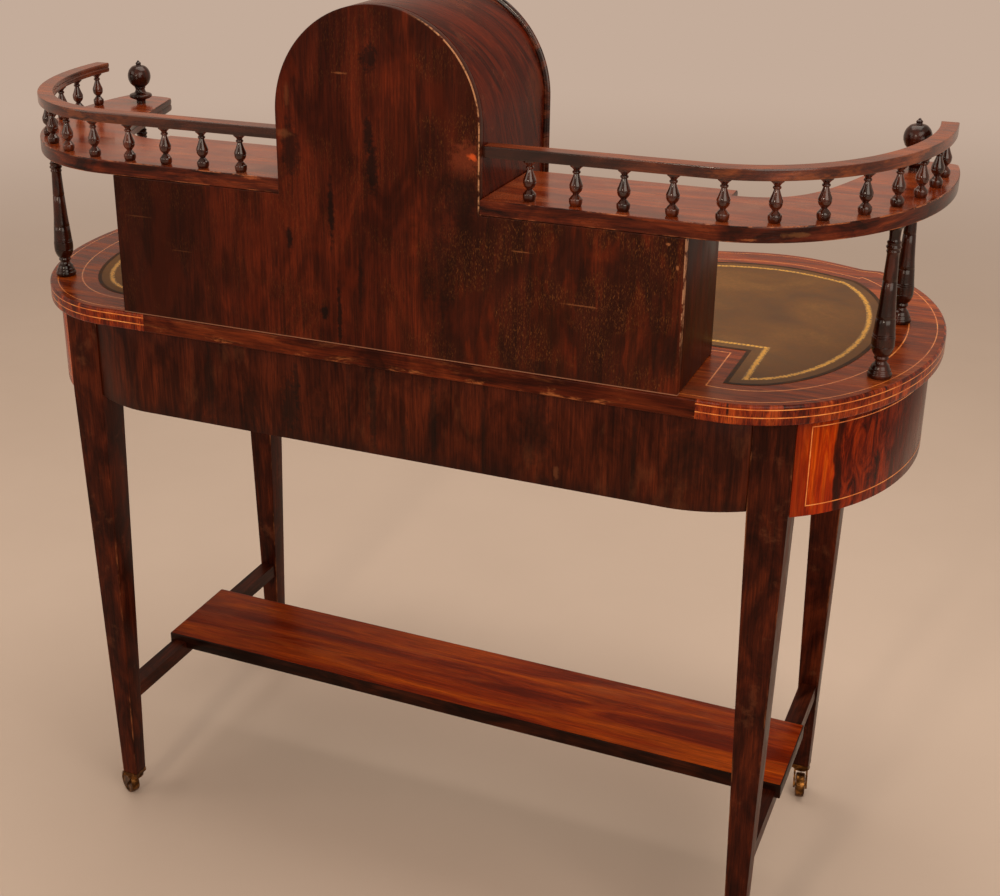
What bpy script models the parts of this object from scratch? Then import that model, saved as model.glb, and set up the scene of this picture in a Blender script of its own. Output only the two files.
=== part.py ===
"""A lady's writing desk with rounded ends, an arched cupboard and two spindled galleries.

Metres, +Z up. The front is -Y and the sitter's left is -X. The origin is on the floor below the
middle of the desk. Depths are measured forward from the plane of the back.
"""
import math

import bmesh
import bpy
from mathutils import Matrix, Vector

# Fits shared by all pieces
FIT_GAP = 0.0003
RUN_GAP = 0.0015
CUT_OVERRUN = 0.003
JOIN_LAP = 0.0012
MERGE_REACH = 0.000001
EASE = 0.0012

# Desk top
TOP_HEIGHT = 0.760
TOP_THICKNESS = 0.022
TOP_EDGE_ROUND = 0.0025
TOP_HALF_WIDTH = 0.562
END_ACROSS = 0.190
END_DEEP = 0.2725
KNEE_DEPTH = 0.500
SWELL_DEPTH = 0.543
SWELL_FROM_LEG = 0.094
SWELL_INNER_REACH = 0.204
SWELL_OUTER_REACH = 0.170
NOTCH_FROM_LEG = 0.007
NOTCH_WIDTH = 0.021

# Leather let into the top
LEATHER_THICKNESS = 0.0014
LEATHER_END_MARGIN = 0.068
LEATHER_MARGIN = 0.056
LEATHER_SIDE_REVEAL = 0.034
LEATHER_FRONT_REVEAL = 0.023

# Legs, taper and places
LEG_WIDTH = 0.0435
FOOT_WIDTH = 0.0224
LEG_INSET = 0.133
REAR_LEG_DEPTH = 0.0566
FRONT_LEG_DEPTH = 0.460

# Frieze: aprons, dust board, dividers and drawers
FRIEZE_HEIGHT = 0.110
APRON_THICKNESS = 0.018
REAR_APRON_SETBACK = 0.012
REAR_APRON_TURN = 0.082
REAR_APRON_REVEAL = 0.002
END_APRON_SETBACK = 0.012
END_APRON_REVEAL = 0.006
DUST_BOARD_THICKNESS = 0.010
DIVIDER_PLACE = 0.158
DIVIDER_THICKNESS = 0.016
DRAWER_FRONT_DEPTH = 0.481
DRAWER_SWELL = 0.043
DRAWER_LENGTH = 0.400
DRAWER_FRONT_THICKNESS = 0.018
DRAWER_WALL = 0.008
DRAWER_FLOOR = 0.006
DRAWER_SIDE_DROP = 0.007
CENTRE_KNOB_PLACE = 0.078

# Stretchers and undershelf
STRETCHER_WIDTH = 0.022
STRETCHER_HEIGHT = 0.020
STRETCHER_TOP = 0.181
UNDERSHELF_TOP = 0.1906
UNDERSHELF_THICKNESS = 0.0197
UNDERSHELF_REAR = 0.1905
UNDERSHELF_FRONT = 0.3323
UNDERSHELF_PAST = 0.0057

# Tall middle box
ARCH_HALF_WIDTH = 0.1182
ARCH_SPRING = 0.2535
ARCH_DEPTH = 0.1863
SHELL_THICKNESS = 0.010
REAR_BOARD_THICKNESS = 0.010
MOULDING_THICKNESS = 0.010
MOULDING_REACH = 0.0056
CUPBOARD_SHELF_HEIGHT = 0.140
CUPBOARD_SHELF_THICKNESS = 0.008
CUPBOARD_SHELF_SETBACK = 0.012

# Cupboard door and hinges
DOOR_THICKNESS = 0.014
DOOR_EDGE_GAP = 0.0022
DOOR_SETBACK = 0.002
DOOR_KNOB_HEIGHT = 0.175
DOOR_KNOB_INSET = 0.020
HINGE_HEIGHT = 0.036
HINGE_FROM_END = 0.045
HINGE_LEAF_THICKNESS = 0.0006
HINGE_LEAF_LENGTH = 0.012
HINGE_BARREL_RADIUS = 0.0022
HINGE_PIN_RADIUS = 0.0009

# Low side boxes
SIDE_BOX_HALF_WIDTH = 0.336
SIDE_BOX_DEPTH = 0.137
SIDE_BOX_HEIGHT = 0.1652
SIDE_PANEL_THICKNESS = 0.010
INNER_PANEL_THICKNESS = 0.008
HOLE_FLOOR_HEIGHT = 0.062
HOLE_FLOOR_THICKNESS = 0.006
SMALL_DRAWER_FRONT = 0.010
SMALL_DRAWER_WALL = 0.006

# Gallery shelves, rails and spindles. The two galleries were fitted by hand, so where a size
# differs it is named for the left and the right as seen from the front.
SHELF_THICKNESS = 0.0165
SHELF_MIDDLE = 0.351
SHELF_ACROSS = {"left": 0.204, "right": 0.2108}
SHELF_REAR_INSET = 0.001
SHELF_END_DEPTH = 0.345
SHELF_END_INNER = 0.4843
SHELF_END_NOSE = 0.010
SHELF_BOX_PAST = 0.015
SHELF_BOX_FRONT = 0.005
SCOOP_DEPTH = 0.119
SCOOP_PULL = 0.088
SCOOP_RUN = 0.130
SCOOP_SPREAD = 0.042
RAIL_HEIGHT_ABOVE_SHELF = 0.0424
RAIL_THICKNESS = 0.0118
RAIL_WIDTH = 0.019
RAIL_INSET = {"left": 0.007, "right": 0.002}
RAIL_END_DEPTH = {"left": 0.310, "right": 0.287}
SPINDLE_COUNT = 12
SPINDLE_RADIUS = 0.0068
SPINDLE_START = {"left": 0.048, "right": 0.053}
SPINDLE_END_MARGIN = {"left": 0.025, "right": 0.016}

# Columns and finials, each place given in X outwards and depth
COLUMN_RADIUS = 0.0125
REAR_COLUMN_PLACE = {"left": (0.513, 0.138), "right": (0.4915, 0.094)}
FRONT_COLUMN_PLACE = {"left": (0.5065, 0.324), "right": (0.5065, 0.302)}
FINIAL_HEIGHT = 0.0565
FINIAL_RADIUS = 0.0152
FINIAL_PLACE = (0.5055, 0.305)

# Castors
WHEEL_RADIUS = 0.0175
WHEEL_WIDTH = 0.0120
AXLE_RADIUS = 0.0020
AXLE_CLEARANCE = 0.0004
FORK_CHEEK = 0.0025
FORK_CHEEK_RADIUS = 0.0055
FORK_CLEARANCE = 0.0010
CROWN_RADIUS = 0.0120
CROWN_THICKNESS = 0.0030
CROWN_ABOVE_WHEEL = 0.0012
CASTOR_TRAIL = 0.0160
PINTLE_RADIUS = 0.0030
CUP_HEIGHT = 0.0058
CUP_WALL = 0.0018
CUP_FLOOR = 0.0025

# Turned brass knobs
KNOB_RADIUS = 0.0110
KNOB_LENGTH = 0.0220
SMALL_KNOB_RADIUS = 0.0075
SMALL_KNOB_LENGTH = 0.0150

# Counts of facets
END_STEPS = 20
FRONT_STEPS = 14
ARCH_STEPS = 22
COLUMN_SIDES = 10
SPINDLE_SIDES = 8
KNOB_SIDES = 10
WHEEL_SIDES = 18
PIN_SIDES = 10

# Turned outlines from foot to tip: shares of the height and of the widest radius
COLUMN_SHARES = (
    (0.0, 0.0), (0.0, 0.80), (0.02, 1.0), (0.05, 0.95), (0.09, 0.50), (0.12, 0.56), (0.145, 0.58),
    (0.19, 0.90), (0.24, 0.96), (0.31, 0.88), (0.47, 0.70), (0.63, 0.58), (0.81, 0.48),
    (0.84, 0.62), (0.87, 0.60), (0.90, 0.46), (0.96, 0.50), (0.985, 0.78), (1.0, 0.80), (1.0, 0.0),
)
SPINDLE_SHARES = (
    (0.0, 0.0), (0.0, 0.88), (0.12, 1.0), (0.25, 0.48), (0.44, 1.0), (0.55, 0.92),
    (0.74, 0.44), (0.81, 0.60), (0.86, 0.44), (0.94, 0.95), (1.0, 1.0), (1.0, 0.0),
)
FINIAL_SHARES = (
    (0.0, 0.0), (0.0, 0.40), (0.06, 0.42), (0.09, 0.60), (0.13, 0.93), (0.168, 1.0), (0.205, 0.93),
    (0.235, 0.62), (0.27, 0.47), (0.33, 0.42), (0.42, 0.66), (0.48, 0.85), (0.56, 0.965), (0.64, 1.0),
    (0.72, 0.95), (0.79, 0.83), (0.85, 0.62), (0.885, 0.24), (0.93, 0.235), (0.965, 0.16), (1.0, 0.0),
)
KNOB_SHARES = (
    (0.0, 0.0), (0.0, 0.82), (0.08, 0.80), (0.14, 0.46), (0.40, 0.36), (0.52, 0.80), (0.66, 1.0),
    (0.82, 0.88), (0.94, 0.50), (1.0, 0.0),
)
WHEEL_SHARES = ((0.0, 0.80), (0.20, 1.0), (0.80, 1.0), (1.0, 0.80))

# Ways that the castors trail at rest, in degrees anticlockwise from +X as seen from above
CASTOR_TURNS = {"front_left": 101, "front_right": 60, "rear_left": 200, "rear_right": -27}

# Places that follow from the sizes above
leg_place = TOP_HALF_WIDTH - LEG_INSET
leg_inner = leg_place - LEG_WIDTH / 2
leg_outer = leg_place + LEG_WIDTH / 2
rear_leg_face = REAR_LEG_DEPTH - LEG_WIDTH / 2
front_leg_face = FRONT_LEG_DEPTH + LEG_WIDTH / 2
end_place = TOP_HALF_WIDTH - END_ACROSS
swell_place = leg_place - SWELL_FROM_LEG
notch_place = leg_place + NOTCH_FROM_LEG
top_underside = TOP_HEIGHT - TOP_THICKNESS
frieze_bottom = top_underside - FRIEZE_HEIGHT
board_top = frieze_bottom + DUST_BOARD_THICKNESS
box_top = TOP_HEIGHT + SIDE_BOX_HEIGHT
shelf_top = box_top + SHELF_THICKNESS
rail_bottom = shelf_top + RAIL_HEIGHT_ABOVE_SHELF
side_drawer_inner = DIVIDER_PLACE + DIVIDER_THICKNESS / 2 + RUN_GAP
side_drawer_outer = leg_inner - RUN_GAP
side_drawer_middle = (side_drawer_inner + side_drawer_outer) / 2
knob_depth = DRAWER_FRONT_DEPTH + DRAWER_SWELL + FIT_GAP + KNOB_LENGTH
rear_y = max(knob_depth, SWELL_DEPTH) / 2
shelf_deep = END_DEEP - SHELF_REAR_INSET

BRASS = (0.42, 0.30, 0.13)
DARK_ROSEWOOD = (0.060, 0.016, 0.010)
ROSEWOOD = (0.105, 0.028, 0.015)
RED_VENEER = (0.30, 0.075, 0.022)
EBONISED = (0.030, 0.010, 0.008)
DRAWER_WOOD = (0.34, 0.19, 0.09)
LEATHER = (0.135, 0.105, 0.040)

for old in list(bpy.data.objects):
    bpy.data.objects.remove(old, do_unlink=True)


# Shared ways of shaping

def add_object(name, mesh, colour, roughness, metallic=0.0):
    """Put a mesh in the scene under its name, with a material of its own."""
    piece = bpy.data.objects.new(name, mesh)
    bpy.context.scene.collection.objects.link(piece)
    finish = bpy.data.materials.new(name + "_finish")
    finish.use_nodes = True
    shader = finish.node_tree.nodes["Principled BSDF"]
    shader.inputs["Base Color"].default_value = (*colour, 1.0)
    shader.inputs["Roughness"].default_value = roughness
    shader.inputs["Metallic"].default_value = metallic
    if not mesh.materials:
        mesh.materials.append(None)
    piece.material_slots[0].link = "OBJECT"
    piece.material_slots[0].material = finish
    return piece


def to_mesh(name, shape):
    """Close a bmesh into a mesh whose faces point outwards."""
    bmesh.ops.recalc_face_normals(shape, faces=shape.faces)
    mesh = bpy.data.meshes.new(name)
    shape.to_mesh(mesh)
    shape.free()
    return mesh


def area_of(outline):
    """The signed area of an outline: positive where it runs anticlockwise."""
    turned_on = outline[1:] + outline[:1]
    return sum(a[0] * b[1] - b[0] * a[1] for a, b in zip(outline, turned_on)) / 2


def shrunk(outline, inset):
    """An anticlockwise outline moved inwards by an inset, with mitred corners."""
    moved = []
    count = len(outline)
    for place in range(count):
        here = Vector(outline[place])
        before = (here - Vector(outline[place - 1])).normalized()
        after = (Vector(outline[(place + 1) % count]) - here).normalized()
        normal_before = Vector((-before.y, before.x))
        normal_after = Vector((-after.y, after.x))
        mitre = (normal_before + normal_after) / (1 + normal_before.dot(normal_after))
        moved.append(tuple(here + mitre * inset))
    return moved


def stacked(name, outline, levels, stand=None):
    """A solid of copies of one outline: each level gives a height and how far it is drawn in."""
    if area_of(outline) < 0:
        outline = outline[::-1]
    shape = bmesh.new()
    rings = []
    for height, inset in levels:
        rings.append([shape.verts.new((x, y, height)) for x, y in shrunk(outline, inset)])
    for lower, upper in zip(rings, rings[1:]):
        for place, corner in enumerate(lower):
            after = (place + 1) % len(lower)
            shape.faces.new((corner, lower[after], upper[after], upper[place]))
    shape.faces.new(rings[0])
    shape.faces.new(rings[-1])
    if stand:
        shape.transform(stand)
    return to_mesh(name, shape)


def plan(points):
    """Turn points of X and depth from the back into points of X and Y."""
    return [(x, rear_y - depth) for x, depth in points]


def eased(bottom, top, ease=EASE):
    """Levels of a board whose long edges are taken off."""
    return ((bottom, ease), (bottom + ease, 0), (top - ease, 0), (top, ease))


def block(name, across, depths, heights, ease=EASE):
    """A plain board between two places in X, two depths and two heights."""
    corners = plan([(across[0], depths[0]), (across[0], depths[1]),
                    (across[1], depths[1]), (across[1], depths[0])])
    return stacked(name, corners, eased(*heights, ease))


def raw_box(name, across, depths, heights):
    """A sharp box for cutting and joining."""
    corners = plan([(across[0], depths[0]), (across[0], depths[1]),
                    (across[1], depths[1]), (across[1], depths[0])])
    return stacked(name, corners, ((heights[0], 0), (heights[1], 0)))


def turned(name, profile, sides):
    """Revolve a profile of radius and height about Z."""
    shape = bmesh.new()
    line = [shape.verts.new((radius, 0, height)) for radius, height in profile]
    edges = [shape.edges.new(pair) for pair in zip(line, line[1:])]
    bmesh.ops.spin(shape, geom=line + edges, axis=(0, 0, 1), cent=(0, 0, 0), steps=sides,
                   angle=2 * math.pi, use_merge=True)
    bmesh.ops.remove_doubles(shape, verts=shape.verts, dist=MERGE_REACH)
    mesh = to_mesh(name, shape)
    mesh.shade_smooth()
    mesh.set_sharp_from_angle(angle=math.radians(40))
    return mesh


def shared_profile(shares, radius, height):
    """A turned profile from shares of a height and a radius."""
    return [(radius * wide, height * rise) for rise, wide in shares]


def swept(name, stations, profile):
    """Carry a closed profile of outward reach and depth along an upright path, and cap its ends."""
    shape = bmesh.new()
    rings = []
    for x, z, normal_x, normal_z in stations:
        rings.append([shape.verts.new((x + normal_x * reach, rear_y - depth, z + normal_z * reach))
                      for reach, depth in profile])
    for first, second in zip(rings, rings[1:]):
        for place, corner in enumerate(first):
            after = (place + 1) % len(first)
            shape.faces.new((corner, first[after], second[after], second[place]))
    shape.faces.new(rings[0])
    shape.faces.new(rings[-1])
    return to_mesh(name, shape)


def combine(piece, mesh, operation):
    """Cut a mesh from a piece or join one to it."""
    tool = bpy.data.objects.new(piece.name + "_tool", mesh)
    bpy.context.scene.collection.objects.link(tool)
    tool.parent = piece
    tool.hide_render = True
    tool.hide_viewport = True
    tool.display_type = "WIRE"
    step = piece.modifiers.new(operation.lower(), "BOOLEAN")
    step.operation = operation
    step.solver = "EXACT"
    step.object = tool


def joint_empty(name, place):
    """An empty that marks a joint's axis."""
    empty = bpy.data.objects.new(name, None)
    empty.location = place
    bpy.context.scene.collection.objects.link(empty)
    return empty


def hang(piece, empty):
    """Carry a piece on a joint's empty without moving it."""
    piece.parent = empty
    piece.matrix_parent_inverse = Matrix.Translation(-empty.location)


# Curves shared by the top, the leather and the drawers

def swell_share(x, middle, inner_reach, outer_reach):
    """How full a swell of the front is at X, from 0 to 1."""
    reach = outer_reach if abs(x) > middle else inner_reach
    return math.cos(math.pi / 2 * min(1.0, abs(abs(x) - middle) / reach)) ** 2


def top_front(x):
    """Depth of the front edge of the top between its two ends."""
    fullness = swell_share(x, swell_place, SWELL_INNER_REACH, SWELL_OUTER_REACH)
    return KNEE_DEPTH + (SWELL_DEPTH - KNEE_DEPTH) * fullness


def drawer_face(x):
    """Depth of the drawer fronts: flat in the middle, swelling on each side drawer."""
    inner_reach = side_drawer_middle - side_drawer_inner
    outer_reach = leg_inner - side_drawer_middle
    fullness = swell_share(x, side_drawer_middle, inner_reach, outer_reach)
    return DRAWER_FRONT_DEPTH + DRAWER_SWELL * fullness


def end_curve(across, deep, from_angle, to_angle, middle=END_DEEP, place=end_place, steps=END_STEPS):
    """Points of a rounded end, by the angle from its widest point towards the back."""
    points = []
    for step in range(steps + 1):
        angle = from_angle + (to_angle - from_angle) * step / steps
        points.append((place + across * math.cos(angle), middle - deep * math.sin(angle)))
    return points


def both_halves(half):
    """Mirror an outline that starts and ends on the middle line."""
    return half + [(-x, depth) for x, depth in reversed(half) if x > 0]


def spread(start, finish, steps):
    """Evenly spaced values from start to finish."""
    return [start + (finish - start) * step / steps for step in range(steps + 1)]


def top_half():
    """Right half of the top's plan, from the back round the end to the middle of the front."""
    shoulder = notch_place + NOTCH_WIDTH
    end = end_curve(END_ACROSS, END_DEEP, math.pi / 2, -math.acos((shoulder - end_place) / END_ACROSS))
    return end + [(x, top_front(x)) for x in spread(notch_place, 0, FRONT_STEPS)]


def leather_half():
    """Right half of the leather, round the outside and back beside the boxes."""
    across = END_ACROSS - LEATHER_END_MARGIN
    deep = END_DEEP - LEATHER_MARGIN
    inner = SIDE_BOX_HALF_WIDTH + LEATHER_SIDE_REVEAL
    front = [(x, top_front(x) - LEATHER_MARGIN) for x in spread(0, notch_place, FRONT_STEPS)]
    end = end_curve(across, deep, -math.pi / 2, math.acos((inner - end_place) / across))
    meeting = [point for point in front if point[0] < end_place
               or inside_end(point, across, deep)]
    beyond = [point for point in end if point[0] > meeting[-1][0]]
    box_front = SIDE_BOX_DEPTH + LEATHER_FRONT_REVEAL
    arch_side = ARCH_HALF_WIDTH + MOULDING_REACH + LEATHER_FRONT_REVEAL
    arch_front = ARCH_DEPTH + MOULDING_THICKNESS + LEATHER_FRONT_REVEAL
    return meeting + beyond + [(inner, box_front), (arch_side, box_front),
                               (arch_side, arch_front), (0, arch_front)]


def inside_end(point, across, deep):
    """Whether a point lies within a rounded end."""
    return ((point[0] - end_place) / across) ** 2 + ((point[1] - END_DEEP) / deep) ** 2 < 1


# Desk top with its recess, and the leather

def make_top():
    """The top is one board with a rounded edge. The leather lies in a shallow recess."""
    levels = eased(top_underside, TOP_HEIGHT, TOP_EDGE_ROUND)
    top = add_object("desk_top", stacked("desk_top", plan(both_halves(top_half())), levels),
                     ROSEWOOD, 0.25)
    sheet = plan(both_halves(leather_half()))
    floor = TOP_HEIGHT - LEATHER_THICKNESS
    if area_of(sheet) < 0:
        sheet = sheet[::-1]
    recess = stacked("recess", shrunk(sheet, -FIT_GAP),
                     ((floor - FIT_GAP, 0), (TOP_HEIGHT + CUT_OVERRUN, 0)))
    combine(top, recess, "DIFFERENCE")
    add_object("writing_leather", stacked("writing_leather", sheet, ((floor, 0), (TOP_HEIGHT, 0))),
               LEATHER, 0.55)


# Legs with their castors

def leg_width_at(height):
    """Width of a leg's taper at a height below the frieze."""
    cup_top = castor_heights()["cup_top"]
    share = (height - cup_top) / (frieze_bottom - cup_top)
    return FOOT_WIDTH + (LEG_WIDTH - FOOT_WIDTH) * share


def castor_heights():
    """Heights of a castor's levels, from the floor up."""
    axle = WHEEL_RADIUS * math.cos(math.pi / WHEEL_SIDES)
    crown_bottom = axle + WHEEL_RADIUS + CROWN_ABOVE_WHEEL
    crown_top = crown_bottom + CROWN_THICKNESS
    cup_bottom = crown_top + FIT_GAP
    return {"axle": axle, "crown_bottom": crown_bottom, "crown_top": crown_top,
            "cup_bottom": cup_bottom, "cup_top": cup_bottom + CUP_HEIGHT}


def make_leg(name, x, depth):
    """A square leg, straight beside the frieze and tapered to a tenon in its castor's cup."""
    heights = castor_heights()
    shoulder = heights["cup_top"] + FIT_GAP
    tenon_inset = (LEG_WIDTH - FOOT_WIDTH) / 2 + CUP_WALL + FIT_GAP
    foot_inset = (LEG_WIDTH - FOOT_WIDTH) / 2
    levels = ((heights["cup_bottom"] + CUP_FLOOR + FIT_GAP, tenon_inset), (shoulder, tenon_inset),
              (shoulder, foot_inset), (frieze_bottom, 0), (top_underside - FIT_GAP, 0))
    half = LEG_WIDTH / 2
    corners = plan([(x - half, depth - half), (x - half, depth + half),
                    (x + half, depth + half), (x + half, depth - half)])
    add_object(name, stacked(name, corners, levels), DARK_ROSEWOOD, 0.35)


def make_castor(corner, x, depth):
    """Cup on the leg's end, fork that swivels under it and wheel that rolls in the fork."""
    heights = castor_heights()
    y = rear_y - depth
    half = FOOT_WIDTH / 2
    cup = add_object("castor_cup_" + corner,
                     raw_box("castor_cup", (x - half, x + half), (depth - half, depth + half),
                             (heights["cup_bottom"], heights["cup_top"])), BRASS, 0.35, 1.0)
    inner = half - CUP_WALL
    combine(cup, raw_box("cup_hollow", (x - inner, x + inner), (depth - inner, depth + inner),
                         (heights["cup_bottom"] + CUP_FLOOR, heights["cup_top"] + CUT_OVERRUN)),
            "DIFFERENCE")
    pintle_top = heights["cup_bottom"] + CUP_FLOOR / 2
    pintle = turned("pintle", [(0, heights["crown_bottom"] + FIT_GAP),
                               (PINTLE_RADIUS, heights["crown_bottom"] + FIT_GAP),
                               (PINTLE_RADIUS, pintle_top), (0, pintle_top)], PIN_SIDES)
    pintle.transform(Matrix.Translation((x, y, 0)))
    combine(cup, pintle, "UNION")

    swivel = joint_empty("swivel_" + corner, (x, y, heights["crown_top"]))
    stand = Matrix.Translation((x, y, 0)) @ Matrix.Rotation(math.radians(CASTOR_TURNS[corner]), 4, "Z")
    bore = PINTLE_RADIUS + AXLE_CLEARANCE
    crown = turned("crown", [(bore, heights["crown_bottom"]), (CROWN_RADIUS, heights["crown_bottom"]),
                             (CROWN_RADIUS, heights["crown_top"]), (bore, heights["crown_top"]),
                             (bore, heights["crown_bottom"])], WHEEL_SIDES)
    crown.transform(stand)
    fork = add_object("castor_fork_" + corner, crown, BRASS, 0.38, 1.0)
    for face in (-1, 1):
        combine(fork, make_cheek(stand, face), "UNION")
    bolt = AXLE_RADIUS + AXLE_CLEARANCE
    half_fork = WHEEL_WIDTH / 2 + FORK_CLEARANCE + FORK_CHEEK + CUT_OVERRUN
    hole = turned("axle_hole", [(0, -half_fork), (bolt, -half_fork), (bolt, half_fork),
                                (0, half_fork)], PIN_SIDES)
    lying = stand @ Matrix.Translation((CASTOR_TRAIL, 0, heights["axle"])) @ Matrix.Rotation(
        math.pi / 2, 4, "X")
    hole.transform(lying)
    combine(fork, hole, "DIFFERENCE")
    hang(fork, swivel)

    roll = joint_empty("roll_" + corner, lying.translation)
    wheel_mesh = make_wheel()
    wheel_mesh.transform(lying)
    wheel = add_object("castor_wheel_" + corner, wheel_mesh, BRASS, 0.30, 1.0)
    hang(wheel, roll)


def make_cheek(stand, face):
    """One side plate of a fork: from the crown down to a round eye at the axle."""
    heights = castor_heights()
    top = heights["crown_bottom"] + CROWN_THICKNESS / 2
    half_top = FORK_CHEEK_RADIUS
    steps = PIN_SIDES // 2
    eye = []
    for step in range(steps + 1):
        angle = -math.pi * step / steps
        eye.append((CASTOR_TRAIL + FORK_CHEEK_RADIUS * math.cos(angle),
                    heights["axle"] + FORK_CHEEK_RADIUS * math.sin(angle)))
    outline = [(-half_top, top), (half_top, top)] + eye
    inner = WHEEL_WIDTH / 2 + FORK_CLEARANCE
    edges = sorted((face * inner, face * (inner + FORK_CHEEK)))
    return stacked("cheek", outline, ((edges[0], 0), (edges[1], 0)),
                   stand @ Matrix.Rotation(math.pi / 2, 4, "X"))


def make_wheel():
    """A rounded brass wheel turned in one piece with its axle."""
    half = WHEEL_WIDTH / 2
    axle_half = half + FORK_CLEARANCE + FORK_CHEEK
    profile = [(0, -axle_half), (AXLE_RADIUS, -axle_half), (AXLE_RADIUS, -half)]
    profile += [(WHEEL_RADIUS * wide, -half + WHEEL_WIDTH * along) for along, wide in WHEEL_SHARES]
    profile += [(AXLE_RADIUS, half), (AXLE_RADIUS, axle_half), (0, axle_half)]
    return turned("castor_wheel", profile, WHEEL_SIDES)


def make_legs():
    """Four legs, each with its castor."""
    for side, hand in ((-1, "left"), (1, "right")):
        for depth, place in ((FRONT_LEG_DEPTH, "front"), (REAR_LEG_DEPTH, "rear")):
            make_leg("leg_%s_%s" % (place, hand), side * leg_place, depth)
            make_castor("%s_%s" % (place, hand), side * leg_place, depth)


# Frieze

def rear_apron_depth(x):
    """Depth of the rear apron's outer face: straight, then turned in to the legs."""
    turn = rear_leg_face + REAR_APRON_REVEAL - REAR_APRON_SETBACK
    start = leg_inner - REAR_APRON_TURN
    share = max(0.0, (abs(x) - start) / REAR_APRON_TURN)
    return REAR_APRON_SETBACK + turn * share ** 2


def make_rear_apron():
    """One board between the rear legs, bent in at both ends."""
    end = leg_inner - FIT_GAP
    bend = spread(end, leg_inner - REAR_APRON_TURN, FRONT_STEPS // 2)
    places = [-x for x in bend] + bend[::-1]
    outer = [(x, rear_apron_depth(x)) for x in places]
    inner = [(x, rear_apron_depth(x) + APRON_THICKNESS) for x in reversed(places)]
    add_object("rear_apron", stacked("rear_apron", plan(outer + inner),
                                     ((frieze_bottom, 0), (top_underside - FIT_GAP, 0))),
               DARK_ROSEWOOD, 0.35)


def end_apron_curve(across, deep, middle):
    """One face of an end apron, from the rear leg to the front leg."""
    limit = math.acos((leg_outer + FIT_GAP - end_place) / across)
    return end_curve(across, deep, limit, -limit, middle)


def make_end_apron(side, hand):
    """A curved board round the end, flush between the faces of the two legs."""
    across = END_ACROSS - END_APRON_SETBACK
    middle = (rear_leg_face + front_leg_face) / 2
    height_share = math.sqrt(1 - ((leg_outer - end_place) / across) ** 2)
    deep = ((front_leg_face - rear_leg_face) / 2 - END_APRON_REVEAL) / height_share
    outer = end_apron_curve(across, deep, middle)
    inner = end_apron_curve(across - APRON_THICKNESS, deep - APRON_THICKNESS, middle)
    outline = [(side * x, depth) for x, depth in outer + inner[::-1]]
    add_object("end_apron_" + hand, stacked("end_apron", plan(outline),
                                            ((frieze_bottom, 0), (top_underside - FIT_GAP, 0))),
               RED_VENEER, 0.28)


def inner_apron(x):
    """Depth of the rear apron's inner face."""
    return rear_apron_depth(x) + APRON_THICKNESS


def make_dust_board():
    """The board that the drawers run on, shaped to the drawer fronts and the rear apron."""
    end = leg_inner - FIT_GAP
    front = [(x, drawer_face(x)) for x in spread(-end, end, 2 * FRONT_STEPS)]
    bend = spread(end, leg_inner - REAR_APRON_TURN, FRONT_STEPS // 2)
    back = [(x, inner_apron(x) + FIT_GAP) for x in bend + [-x for x in reversed(bend)]]
    add_object("dust_board", stacked("dust_board", plan(front + back),
                                     ((frieze_bottom, 0), (board_top, 0))), DRAWER_WOOD, 0.5)


def make_dividers():
    """Two upright boards between the drawers."""
    half = DIVIDER_THICKNESS / 2
    for side, hand in ((-1, "left"), (1, "right")):
        middle = side * DIVIDER_PLACE
        add_object("drawer_divider_" + hand,
                   block("drawer_divider", (middle - half, middle + half),
                         (REAR_APRON_SETBACK + APRON_THICKNESS + FIT_GAP, DRAWER_FRONT_DEPTH),
                         (board_top + FIT_GAP, top_underside - FIT_GAP)), DARK_ROSEWOOD, 0.4)


def make_drawer(name, inner, outer):
    """A frieze drawer: a shaped front, two sides, a back and a floor."""
    bottom = board_top + FIT_GAP
    top = top_underside - RUN_GAP
    back = DRAWER_FRONT_DEPTH - DRAWER_LENGTH
    faces = [(x, drawer_face(x)) for x in spread(inner, outer, FRONT_STEPS)]
    outline = plan(faces + [(outer, back), (inner, back)])
    drawer = add_object(name, stacked(name, outline, ((bottom, 0), (top, 0))), ROSEWOOD, 0.28)
    behind_front = DRAWER_FRONT_DEPTH - DRAWER_FRONT_THICKNESS
    combine(drawer, raw_box("inside", (inner + DRAWER_WALL, outer - DRAWER_WALL),
                            (back + DRAWER_WALL, behind_front),
                            (bottom + DRAWER_FLOOR, top + CUT_OVERRUN)), "DIFFERENCE")
    combine(drawer, raw_box("side_drop", (inner - CUT_OVERRUN, outer + CUT_OVERRUN),
                            (back - CUT_OVERRUN, behind_front),
                            (top - DRAWER_SIDE_DROP, top + CUT_OVERRUN)), "DIFFERENCE")
    slide = joint_empty("slide_" + name, ((inner + outer) / 2, rear_y - DRAWER_FRONT_DEPTH, bottom))
    hang(drawer, slide)
    return slide


def make_knob(name, radius, length, x, depth, height, joint):
    """A turned brass knob that points forward from the face it is on."""
    knob = add_object(name, turned(name, shared_profile(KNOB_SHARES, radius, length), KNOB_SIDES),
                      BRASS, 0.28, 1.0)
    knob.rotation_euler = (math.pi / 2, 0, 0)
    knob.location = (x, rear_y - depth - FIT_GAP, height)
    hang(knob, joint)


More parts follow.
